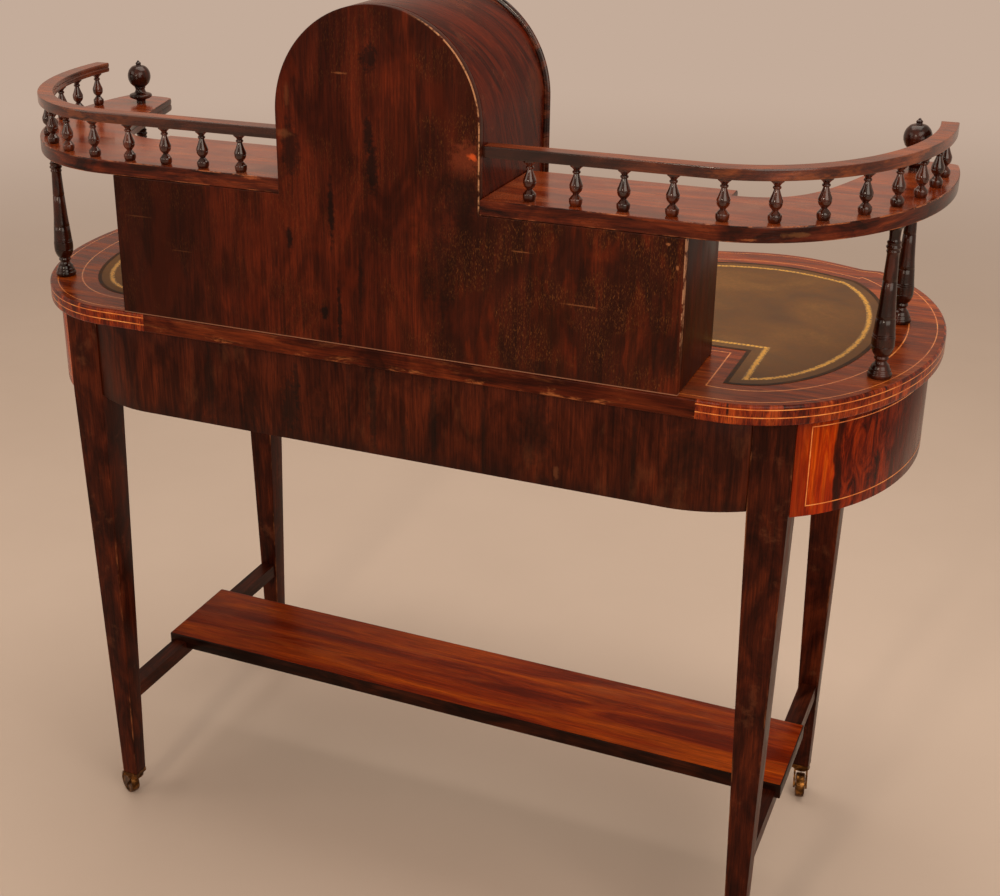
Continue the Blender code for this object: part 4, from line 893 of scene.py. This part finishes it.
def rear_board_wear_and_light(work, colour):
    """Black streaks, a red glow, golden flecks, painted shade on the wing at +X, a painted highlight on
    the arch's rim rubbed pale down one side, and a corner that is rubbed pale.
    """
    x, y, z = work.places()
    colour = work.lay(colour, (110, 35, 9),
                      work.patches(0.52, 0.68, 16, 3, 0.6, 0.8, drawn=(1, 1, 0.5)), 0.35)
    # Painted shade: the wing at +X, away from the side light, is darkened.
    colour = work.lay(colour, (28, 8, 3), work.between(x, 0.115, 0.30, 0, 0.62))
    patch = work.patches(0.44, 0.58, 15, 3, 0.6)
    flecks = work.patches(0.54, 0.68, 1500, 3, 0.7, drawn=(1, 1, 0.16))
    bare = work.between(x, 0.04, -0.16, 0.22, 0.62)
    olive = work.patches(0.46, 0.62, 20, 4, 0.6, drawn=(1, 1, 0.3))
    colour = work.lay(colour, (46, 28, 16), olive, bare, 0.5)
    colour = work.lay(colour, (30, 15, 9), work.between(olive, 0.7, 0.2), bare)
    colour = work.lay(colour, (128, 76, 36), flecks, patch, bare)
    black = (20, 7, 4)
    colour = marks(
        work, colour,
        (black, (53.8, 913.2, 3.4, 34, 0.9), (3.3, 963.9, 6.4, 28, 0.85), (106.4, 876.4, 3.4, 14, 0.9),
         (-74.3, 859.5, 14, 46, 0.5), (46.9, 793.6, 2.8, 40, 0.9), (4.7, 1077.9, 9.5, 14, 0.8),
         (7.2, 998.5, 4.8, 20, 0.85), (100.9, 975, 10, 30, 0.7), (65.9, 796.2, 5.2, 8.2, 0.95),
         (20, 835, 3, 30, 0.7)),
        ((118, 52, 30), (-103.7, 981.9, 15, 17, 0.55)), ((190, 78, 34), (-110.5, 985, 4.8, 3.4, 1)),
        (black, (-98, 940, 16, 30, 0.6)),
        ((150, 92, 56), (109, 992.3, 9, 5, 0.22), (102.9, 1033.4, 3, 12, 0.14),
         (38.7, 1060.5, 7, 1.1, 0.5),
         (-165.1, 892, 9.8, 0.7, 0.4), (-231.3, 842.6, 19.1, 0.8, 0.4), (-318.1, 917.8, 2.2, 1.6, 0.8),
         (-329, 894.4, 1.4, 2.2, 0.8), (250, 845, 14, 0.6, 0.14), (305, 880, 16, 0.8, 0.14)))
    above = work.reckon("MAXIMUM", work.reckon("SUBTRACT", z, SPRING), 0)
    far = work.reckon("SQRT", work.reckon("ADD", work.times(x, x), work.times(above, above)))
    rub = work.patches(0.40, 0.54, 90, 4, 0.7)
    # Painted highlight with wear: a pale line along the arch's rim on the side toward the light, broken
    # by rubbed patches.
    colour = work.lay(colour, (196, 140, 100), work.between(far, ARCH_HALF - 0.0016, ARCH_HALF - 0.0008),
                      work.between(x, -0.035, -0.075), work.between(y, BACK - 0.0016, BACK - 0.0006),
                      rub, 0.8, work.between(z, BOX_TOP, BOX_TOP + 0.01))
    colour = work.lay(colour, (186, 136, 102), work.between(x, -0.3350, -0.3357),
                      work.between(z, TOP + 0.03, TOP + 0.09), rub, 0.8)
    return work.lay(colour, (168, 118, 92), work.between(z, TOP + 0.0022, TOP + 0.0010), 0.7)


wings = [(WING, BOX_TOP - GAP), (WING, TOP + GAP)]
fit(board("rear_board_panel", [(-x, height) for x, height in wings[::-1]]
          + arch_line(ARCH_HALF, BOX_TOP - GAP) + wings, softened(0, REAR_THICK, 0.0009, 3), UPRIGHT),
    "desk", "rear_board", "dark_rosewood",
    rosewood("rear_board_wood", "Z", (54, 14, 4), (74, 23, 7), (96, 32, 10), wear=rear_board_wear_and_light))

# Arched shell and its moulding: thin boards bent to a barrel and veneered across the bend, faced
# at the front with a reeded moulding.
ARCH_DEEP, BARREL_THICK = 0.1863, 0.010


def bent_over(name, section):
    """Sweep a section of reach and depth over the arch."""
    rows = []
    for x, z in arch_line(ARCH_HALF, TOP + GAP):
        normal = Vector((x, z - SPRING)).normalized() if z > SPRING else Vector((math.copysign(1, x), 0))
        rows.append([(x + normal.x * reach, BACK - depth, z + normal.y * reach)
                     for reach, depth in section])
    return made_of(name, rows, 40)


def barrel_veneer():
    """Veneer laid round the barrel, with its figure slanting across the bend."""
    work = Finish("barrel_veneer")
    drawn = {"drawn": (1, 0.10, 1), "turn": -24, "place": work.run}
    figure, fine = work.mottle(70, 6, 0.62, 1.6, **drawn), work.mottle(560, 3, 0.6, **drawn)
    colour = work.shades(figure, (0.36, (48, 8, 1)), (0.50, (68, 15, 2)), (0.66, (92, 27, 6)))
    lines = work.shades(fine, (0.36, (0.5, 0.45, 0.42, 1)), (0.62, (1.2, 1.2, 1.2, 1)))
    haze = work.patches(0.50, 0.68, 16, 5, 0.7)
    colour = work.lay(work.lay(colour, lines, 0.5, way="MULTIPLY"), (130, 74, 50), haze, 0.25)
    return work.finish(colour, work.between(haze, 0, 1, 0.22, 0.36), fine, sheen=0.05)


near, far = REAR_THICK + GAP, ARCH_DEEP
fit(bent_over("arch_barrel", [(-0.0005, near), (0, near + 0.0005), (0, far - 0.0005), (-0.0005, far),
                              (-BARREL_THICK, far), (-BARREL_THICK, near)]),
    "desk", "arch_shell", "rosewood", barrel_veneer())
near, far = ARCH_DEEP + GAP, ARCH_FRONT
reeds = [(0.0016 + 0.0040 * math.sin(angle), near + 0.0024 + 0.0026 * (1 - math.cos(angle)))
         for angle in spread(0, math.pi, 10)]
fit(bent_over("arch_moulding_strip", [
    (-BARREL_THICK, near), (0.0016, near), (0.0022, near + 0.0010), (0.0016, near + 0.0021), *reeds,
    (0.0008, far - 0.0008), (-0.0004, far), (-BARREL_THICK, far)]), "desk", "arch_moulding",
    "dark_rosewood",
    rosewood("moulding_wood", "X", (28, 8, 3), (56, 20, 9), (104, 48, 22), figure=90, run=True,
             gloss=(0.2, 0.32), coat=0.15, sheen=0.35))

# Cupboard: an arched door within the moulding, hung on two brass butts, with a satinwood line
# inside its edge. Behind it is one plain shelf.
DOOR_BACK, DOOR_FACE, DOOR_ROOM = 0.1803, 0.1943, 0.0022
door_line = arch_line(ARCH_HALF - BARREL_THICK - DOOR_ROOM, TOP + DOOR_ROOM)
fit(board("door_panel", door_line, softened(DOOR_BACK, DOOR_FACE, 0.0010, 3), UPRIGHT),
    "cupboard_door", "cupboard_door", "rosewood",
    rosewood("door_veneer", "Z", (64, 19, 7), (104, 37, 13), (138, 61, 24), swirl=2.2, smoke=0.3,
             gloss=(0.2, 0.3), coat=0.1, sheen=0.25))
path = anticlockwise(drawn_in(door_line[::-1], 0.014))
inlay = strip("door_line", drawn_in(path, -LINE / 2), drawn_in(path, LINE / 2), DOOR_FACE - SUNK,
              DOOR_FACE + 0.0001)
inlay.data.transform(UPRIGHT)
fit(inlay, "cupboard_door", None, None, satinwood)
knob("door_knob", "cupboard_door_knob", 0.0075, 0.015, 0.086, DOOR_FACE, 0.935, "cupboard_door")
key_plate("door_key_plate", 0.086, DOOR_FACE, 0.905, "cupboard_door")
for word in ("lower", "upper"):
    dress("hinge_frame_leaf_" + word, knob_brass)
    dress("hinge_door_leaf_" + word, knob_brass)
dress("cupboard_shelf", inside_long)

# Low boxes: a veneered panel at each end and another against the barrel, with a letter hole above
# a small drawer between them.
box_veneer = rosewood("box_veneer", "Z", (42, 12, 4), (58, 19, 6), (76, 28, 10))
BOX_HEIGHTS, SMALL_FACE = (TOP + GAP, BOX_TOP - GAP), 0.1367
for side, hand in HANDS:
    for word, node, across, depth, heights in (
            ("box_end_", "side_box_" + hand, (0.326, WING), BOX_DEEP, BOX_HEIGHTS),
            ("box_wall_", None, (0.1185, 0.1265), BOX_DEEP, BOX_HEIGHTS),
            ("hole_floor_", None, (0.1266, 0.3259), 0.1362, (0.822, 0.828))):
        fit(block(word + hand, sorted(side * x for x in across), (REAR_THICK + GAP, depth), heights),
            "desk", node, "rosewood", box_veneer)
    inner, outer = sorted((side * 0.128, side * 0.3245))
    name, heights = "small_drawer_" + hand, (0.7603, 0.8205)
    front = block(name + "_front", (inner, outer), (SMALL_FACE - 0.010, SMALL_FACE), heights, 0.0006)
    drawer(name, (inner, outer), front, heights, (0.0118, 0.1266, 0.8195), (0.006, 0.006), 0.0532,
           lambda x: SMALL_FACE, 0.008)
    knob("small_knob_" + hand, "small_drawer_knob_" + hand, 0.0075, 0.015, (inner + outer) / 2,
         SMALL_FACE, 0.7904, name)

# Gallery shelves: a shelf over each low box runs out past it and sweeps forward round the end of
# the desk. Its top is glossy figured veneer, its outer edge is plain with rubbed arrises, and its
# inner edge is worked with two reeds. The two sides were fitted by hand and differ a little.
SHELF_TOP, SHELF_MIDDLE, SHELF_DEEP = BOX_TOP + 0.0165, 0.351, END_DEEP - 0.001
SHELF_ACROSS = {"left": 0.204, "right": 0.2108}
SHELF_NOSE, SHELF_TIP = 0.345, 0.4843


def gallery_curve(hand, inset, end):
    """The sweep round the end of a gallery, from its widest stretch behind to a depth in front."""
    deep = SHELF_DEEP - inset
    return round_end(SHELF_ACROSS[hand] - inset, deep, math.pi / 2, math.asin((END_DEEP - end) / deep),
                     steps=80, centre=SHELF_MIDDLE)


def bent_line(points, steps):
    """A smooth line between two ends, pulled by two points between them."""
    first, second, third, fourth = (Vector(point) for point in points)
    return [tuple(first * (1 - share) ** 3 + second * 3 * share * (1 - share) ** 2
                  + third * 3 * share ** 2 * (1 - share) + fourth * share ** 3)
            for share in spread(0, 1, steps)]


def shelf_line(hand):
    """A gallery shelf in X and depth: its outer edge, and then its nose, scoop and box edge."""
    wall, corner = ARCH_HALF + GAP, WING + 0.015
    outer = gallery_curve(hand, 0, SHELF_NOSE)
    nose = bent_line((outer[-1], (outer[-1][0], SHELF_NOSE + 0.010), (SHELF_TIP, SHELF_NOSE + 0.010),
                      (SHELF_TIP, SHELF_NOSE)), 14)
    scoop = bent_line(((SHELF_TIP, SHELF_NOSE), (SHELF_TIP - 0.042, 0.215), (corner + 0.088, 0.119),
                       (corner, 0.119)), 48)
    return [(wall, 0.001)] + outer, nose[1:] + scoop[1:] + [(corner, 0.142), (wall, 0.142)]


def half_reeded(name, side, outer, inner, bottom, top, reed):
    """A board whose outer edge is plain and eased and whose inner edge is worked with two reeds."""
    outline = plan([(side * x, depth) for x, depth in outer + inner])
    worked = [False] * len(outer) + [True] * len(inner)
    if area_of(outline) < 0:
        outline, worked = outline[::-1], worked[::-1]
    steps = [(1 - math.cos(angle)) / 4 for angle in spread(0, math.pi, 8)]
    rises = [0] + steps + [0.5 + step for step in steps[1:]] + [1]
    arris = 0.0009
    rows = []
    for place, rise in enumerate(rises):
        height, bulge = bottom + (top - bottom) * rise, 2 * rise % 1
        near = min(height - bottom, top - height, arris)
        eased = arris - math.sqrt(arris ** 2 - (arris - near) ** 2)
        hollow = reed * (1 - 2 * math.sqrt(bulge * (1 - bulge)))
        if place in (0, len(rises) - 1):
            eased, hollow = arris + FLAT_RING, reed + FLAT_RING
        rows.append([(*(deep if cut else shallow), height) for cut, shallow, deep
                     in zip(worked, drawn_in(outline, eased), drawn_in(outline, hollow))])
    return made_of(name, rows)


def gallery_wear(work, colour):
    """Cloudy old polish on a gallery shelf, with dark veins along it."""
    colour = work.lay(colour, (150, 92, 64), work.patches(0.46, 0.68, 20, 5, 0.7), 0.35)
    veins = work.mottle(90, 5, 0.6, 1.2, drawn=(0.10, 1, 1), turn=8)
    return work.lay(colour, (50, 18, 9), work.between(veins, 0.60, 0.70, 0, 0.4))


def rubbed_arris(work, colour):
    """Pale knocks along the upper and lower arrises of a gallery's edge, and one long bruise."""
    middle, half = (BOX_TOP + SHELF_TOP) / 2, (SHELF_TOP - BOX_TOP) / 2
    out = work.reckon("ABSOLUTE", work.reckon("SUBTRACT", work.places()[2], middle))
    colour = work.lay(colour, (178, 104, 64), work.between(out, half - 0.0016, half - 0.0004),
                      work.patches(0.48, 0.60, 75, 5, 0.72, drawn=(0.4, 0.4, 1)), 0.75)
    return marks(work, colour, ((122, 78, 44), (-436.6, 933.1, 12, 2.2, 0.45)),
                 ((150, 84, 44), (-395, 928.5, 6, 1.2, 0.6)),
                 ((170, 90, 50), (152, 939.2, 10, 1.6, 0.6)))


shelf_veneer = rosewood("gallery_shelf_veneer", "X", (102, 35, 11), (126, 49, 17), (148, 66, 26),
                        swirl=2,
                        smoke=0.15, lines=0.28, long=0.2, gloss=(0.14, 0.24), coat=0.2, sheen=0.25,
                        wear=gallery_wear)
gallery_edge = rosewood("gallery_edge_rubbed", "Y", (40, 10, 3), (76, 25, 8), (104, 42, 16), figure=60,
                        turn=90, run=True, gloss=(0.18, 0.3), smoke=0.8, sheen=0.2, wear=rubbed_arris)
for side, hand in HANDS:
    fit(half_reeded("gallery_board_" + hand, side, *shelf_line(hand), BOX_TOP, SHELF_TOP, 0.0011),
        "desk", "gallery_shelf_" + hand, "red_veneer", shelf_veneer, gallery_edge,
        part=lambda face: abs(face.normal.z) <= 0.98)

# Gallery rails: a light rail follows the outer edge of each shelf on twelve turned spindles, from
# the arch round to the front. It is plain outside and reeded inside, is darker towards the arch, and
# is orange round the bend, partly rubbed and partly a painted highlight. Its top face is a lighter
# copy of its wood, as painted reflection.
RAIL_BOTTOM, RAIL_TOP, RAIL_WIDE = SHELF_TOP + 0.0424, SHELF_TOP + 0.0542, 0.019
RAIL_INSET = {"left": 0.007, "right": 0.002}
RAIL_END = {"left": 0.310, "right": 0.287}
SPINDLE_ROW = {"left": (0.048, 0.025), "right": (0.053, 0.016)}
SPINDLE = ((0, 0.80), (0, 0.85), (0, 0.85), (0.03, 0.93), (0.08, 1), (0.16, 1), (0.19, 0.84),
           (0.24, 0.60), (0.27, 0.42), (0.27, 0.42), (0.30, 0.55), (0.36, 0.85), (0.44, 1), (0.44, 1),
           (0.452, 0.94), (0.464, 1), (0.464, 1), (0.52, 0.97), (0.62, 0.72), (0.72, 0.50),
           (0.77, 0.42), (0.77, 0.42), (0.79, 0.58), (0.83, 0.60), (0.85, 0.42), (0.85, 0.42),
           (0.90, 0.62), (0.95, 0.98), (0.95, 0.98), (1, 1), (1, 1), (1, 0.9))


def rail_line(hand, across_rail):
    """A line along a gallery rail, in X and depth."""
    inset = RAIL_INSET[hand] + across_rail
    return [(ARCH_HALF + GAP,
             END_DEEP - SHELF_DEEP + inset)] + gallery_curve(hand, inset, RAIL_END[hand])


def spindle_places(hand):
    """Twelve places at even distances along the middle of the rail."""
    line = rail_line(hand, RAIL_WIDE / 2)
    gone = so_far(line)
    start, margin = SPINDLE_ROW[hand]
    for reach in spread(start, gone[-1] - margin, 11):
        place = max(number for number, length in enumerate(gone) if length < reach)
        share = (reach - gone[place]) / (gone[place + 1] - gone[place])
        yield Vector(line[place]).lerp(Vector(line[place + 1]), share)


def rail_rub_and_highlight(work, colour):
    """Darker towards the arch; orange round the bend, partly rubbed wear and partly painted highlight.
    """
    bend = work.between(work.reckon("ABSOLUTE", work.places()[0]), 0.16, 0.42)
    rub = work.patches(0.46, 0.60, 60, 4, 0.7, drawn=(0.3, 0.3, 1))
    # Painted highlight with wear: orange round the bend, broken by rubbed patches.
    colour = work.lay(colour, (150, 76, 32), bend, rub, 0.45)
    return work.lay(colour, (26, 10, 5), work.reckon("SUBTRACT", 0.7, work.times(bend, 0.7)))


def turned_finish(name, dark, body, light, gloss, coat):
    """Turned wood, polished until it glints, red where the polish is thin."""
    work = Finish(name)
    cloud = work.mottle(90, 4, 0.6, drawn=(1, 1, 0.25))
    rings = work.mottle(500, 3, 0.6, drawn=(0.3, 0.3, 1))
    colour = work.lay(work.shades(cloud, (0.36, dark), (0.50, body), (0.66, light)), (12, 4, 2),
                      work.between(rings, 0.60, 0.72, 0, 0.4))
    return work.finish(colour, work.between(cloud, 0.3, 0.7, *gloss), rings, 0.05, coat=coat, sheen=0.35)


rail_wood = rosewood("rail_wood", "X", (46, 14, 6), (72, 27, 11), (106, 46, 20), figure=60, run=True,
                     gloss=(0.2, 0.3), coat=0.2, sheen=0.4, wear=rail_rub_and_highlight)
# Painted reflection: the rail's top face takes a lighter copy of the rail wood, for the pale reflection
# it catches.
rail_top_painted_reflection = rosewood("rail_top_painted_reflection", "X", (94, 38, 14), (119, 52, 22), (140, 69, 32), smoke=0.25,
                         lines=0.35, gloss=(0.20, 0.30), coat=0.1, sheen=0.2)
spindle_wood = turned_finish("spindle_wood", (34, 10, 4), (58, 20, 7), (92, 36, 12), (0.10, 0.17), 0.5)
spindle_profile = flowing(SPINDLE, 0.0068, RAIL_BOTTOM - SHELF_TOP - GAP)
for side, hand in HANDS:
    fit(half_reeded("rail_" + hand, side, rail_line(hand, 0), rail_line(hand, RAIL_WIDE)[::-1],
                    RAIL_BOTTOM, RAIL_TOP, 0.0007),
        "desk", "gallery_rail_" + hand, "rosewood", rail_wood, rail_top_painted_reflection,
        part=lambda face: face.center.z > RAIL_TOP - 0.00001)
    for number, (x, depth) in enumerate(spindle_places(hand), 1):
        stand = Matrix.Translation((side * x, BACK - depth, SHELF_TOP + GAP))
        fit(turned("spindle_%s_%02d" % (hand, number), spindle_profile, 24, stand, 42), "desk", None,
            "dark_turned_wood", spindle_wood)

# Columns and finials: four turned columns carry the galleries where they run past the boxes, and
# a ball with a small point stands near the front end of each shelf.
COLUMN = (
    (0, 0.86), (0, 0.93), (0, 0.93), (0.008, 0.99), (0.027, 1), (0.035, 0.92), (0.035, 0.92),
    (0.041, 0.90), (0.053, 0.87), (0.060, 0.79), (0.060, 0.79), (0.066, 0.77), (0.080, 0.70),
    (0.088, 0.60), (0.088, 0.60), (0.096, 0.52), (0.113, 0.46), (0.124, 0.60), (0.142, 0.55),
    (0.142, 0.55), (0.156, 0.72), (0.184, 0.88), (0.207, 0.94), (0.207, 0.94), (0.211, 0.90),
    (0.215, 0.95), (0.215, 0.95), (0.255, 0.95), (0.268, 0.94), (0.268, 0.94), (0.272, 0.89),
    (0.276, 0.92), (0.276, 0.92), (0.283, 0.91), (0.283, 0.91), (0.287, 0.86), (0.291, 0.90),
    (0.291, 0.90), (0.305, 0.88), (0.387, 0.80), (0.387, 0.80), (0.391, 0.76), (0.395, 0.79),
    (0.395, 0.79), (0.468, 0.70), (0.628, 0.58), (0.628, 0.58), (0.632, 0.54), (0.636, 0.575),
    (0.636, 0.575), (0.72, 0.53), (0.809, 0.48), (0.809, 0.48), (0.823, 0.56), (0.835, 0.50),
    (0.851, 0.62), (0.865, 0.52), (0.881, 0.58), (0.894, 0.46), (0.93, 0.46), (0.965, 0.52),
    (0.982, 0.70), (0.993, 0.80), (1, 0.80), (1, 0.80), (1, 0.75))
FINIAL = (
    (0, 0.36), (0, 0.40), (0, 0.40), (0.05, 0.40), (0.075, 0.48), (0.09, 0.60), (0.11, 0.80),
    (0.13, 0.93), (0.15, 0.985), (0.168, 1), (0.187, 0.985), (0.205, 0.93), (0.222, 0.78),
    (0.235, 0.62), (0.25, 0.52), (0.27, 0.47), (0.30, 0.43), (0.33, 0.42), (0.345, 0.44),
    (0.345, 0.44), (0.36, 0.48), (0.375, 0.46), (0.375, 0.46), (0.42, 0.66), (0.45, 0.77),
    (0.48, 0.85), (0.56, 0.965), (0.60, 0.99), (0.64, 1), (0.68, 0.985), (0.72, 0.95), (0.79, 0.83),
    (0.85, 0.62), (0.872, 0.46), (0.885, 0.26), (0.885, 0.26), (0.90, 0.21), (0.93, 0.24),
    (0.95, 0.20), (0.965, 0.12), (0.985, 0.09), (1, 0.01))
turned_wood = turned_finish("dark_turned_wood", (22, 7, 3), (40, 13, 5), (68, 24, 9), (0.18, 0.26), 0.1)


def upright_turning(node, profile, sides, x, depth, foot):
    """A turned piece that stands on the top or on a shelf."""
    stand = Matrix.Translation((x, BACK - depth, foot + GAP))
    fit(turned(node + "_turning", profile, sides, stand, 42), "desk", node, "dark_turned_wood",
        turned_wood)


for place, x, depth in (("rear_left", -0.513, 0.138), ("front_left", -0.5065, 0.324),
                        ("rear_right", 0.4915, 0.094), ("front_right", 0.5065, 0.302)):
    upright_turning("column_" + place, flowing(COLUMN, 0.0125, 0.1646, 3), 32, x, depth, TOP)
for side, hand in HANDS:
    upright_turning("finial_" + hand, flowing(FINIAL, 0.0152, 0.0565), 36, side * 0.5055, 0.305,
                    SHELF_TOP)

# Studio: a warm pale floor that fades into a plain backdrop, broad soft light from both sides and
# from above, and the photograph's view.
BACKDROP = tone(196, 172, 154)


def straight_rays(work):
    """1 for what the camera sees by itself, in a gloss or through glass, and 0 for other rays."""
    rays = work.step("LightPath").outputs
    return work.reckon("MAXIMUM", rays["Is Camera Ray"],
                       work.reckon("MAXIMUM", rays["Is Glossy Ray"], rays["Is Transmission Ray"]))


def floor_paint():
    """Pale plaster-coloured paint with a faint mottle; well away from the desk it stays as pale."""
    work = Finish("floor_paint")
    cloud = work.mottle(3, 4, 0.6)
    far = work.between(work.step("VectorMath", work.spot, way="LENGTH").outputs["Value"], 1.6, 5.5)
    own = work.times(far, straight_rays(work))
    work.feed(work.shader.inputs["Emission Color"], BACKDROP)
    work.feed(work.shader.inputs["Emission Strength"], own)
    colour = work.shades(cloud, (0.3, (203, 184, 170)), (0.7, (206, 187, 173)))
    return work.finish(work.lay(colour, (0, 0, 0), own), 0.85, work.mottle(220, 3), 0.05, sheen=0)


ground = bmesh.new()
ground.faces.new([ground.verts.new(corner) for corner in (
    (-16, -16, 0), (16, -16, 0), (16, 16, 0), (-16, 16, 0))])
studio_floor = settle("studio_floor", ground)
studio_floor.data.materials.append(floor_paint())


def lamp(name, place, aim, wide, tall, power, colour):
    """A soft rectangular light."""
    data = bpy.data.lights.new(name, "AREA")
    data.shape = "RECTANGLE"
    data.size, data.size_y = wide, tall
    data.energy, data.color = power, colour
    made = bpy.data.objects.new(name, data)
    bpy.context.scene.collection.objects.link(made)
    made.location = place
    made.rotation_euler = (Vector(aim) - Vector(place)).to_track_quat("-Z", "Y").to_euler()


lamp("side_light", (-2.1, 2.1, 1.9), (0, 0, 0.8), 2.2, 2.6, 48, (1, 0.89, 0.76))
lamp("fill_light", (2.6, 2.2, 1.8), (0, 0, 0.7), 2, 2, 20, (1, 0.88, 0.75))
lamp("near_light", (0.2, 3.3, 1.9), (0, 0, 0.8), 0.24, 0.7, 18, (1, 0.84, 0.66))
lamp("top_light", (0, -0.4, 3), (0, 0, 0.7), 2.6, 2, 48, (1, 0.90, 0.78))

sky = Finish("studio_air", bpy.data.worlds, "Background")
bpy.context.scene.world = sky.material
for socket, value in zip(sky.shader.inputs, ((1, 0.83, 0.68, 1), 0.40)):
    sky.feed(socket, value)
both = sky.step("MixShader", straight_rays(sky), sky.shader.outputs[0],
                sky.step("Background", BACKDROP).outputs[0])
sky.feed(sky.tree.nodes["World Output"].inputs["Surface"], both.outputs[0])

camera_data = bpy.data.cameras.new("camera")
camera_data.lens, camera_data.sensor_width = 53.82, 36
camera_data.shift_x, camera_data.shift_y = 0.0828, -0.0581
camera = bpy.data.objects.new("camera", camera_data)
bpy.context.scene.collection.objects.link(camera)
right = Vector((-0.9074, -0.420168, -0.009195))
down = Vector((-0.148113, 0.340187, -0.92862))
ahead = Vector((0.393305, -0.841267, -0.370918))
camera.matrix_world = Matrix.Translation((-0.6908, 1.6514, 1.3289)) @ Matrix(
    (right, -down, -ahead)).transposed().to_4x4()
bpy.context.scene.camera = camera
bpy.context.scene.view_settings.view_transform = "Standard"
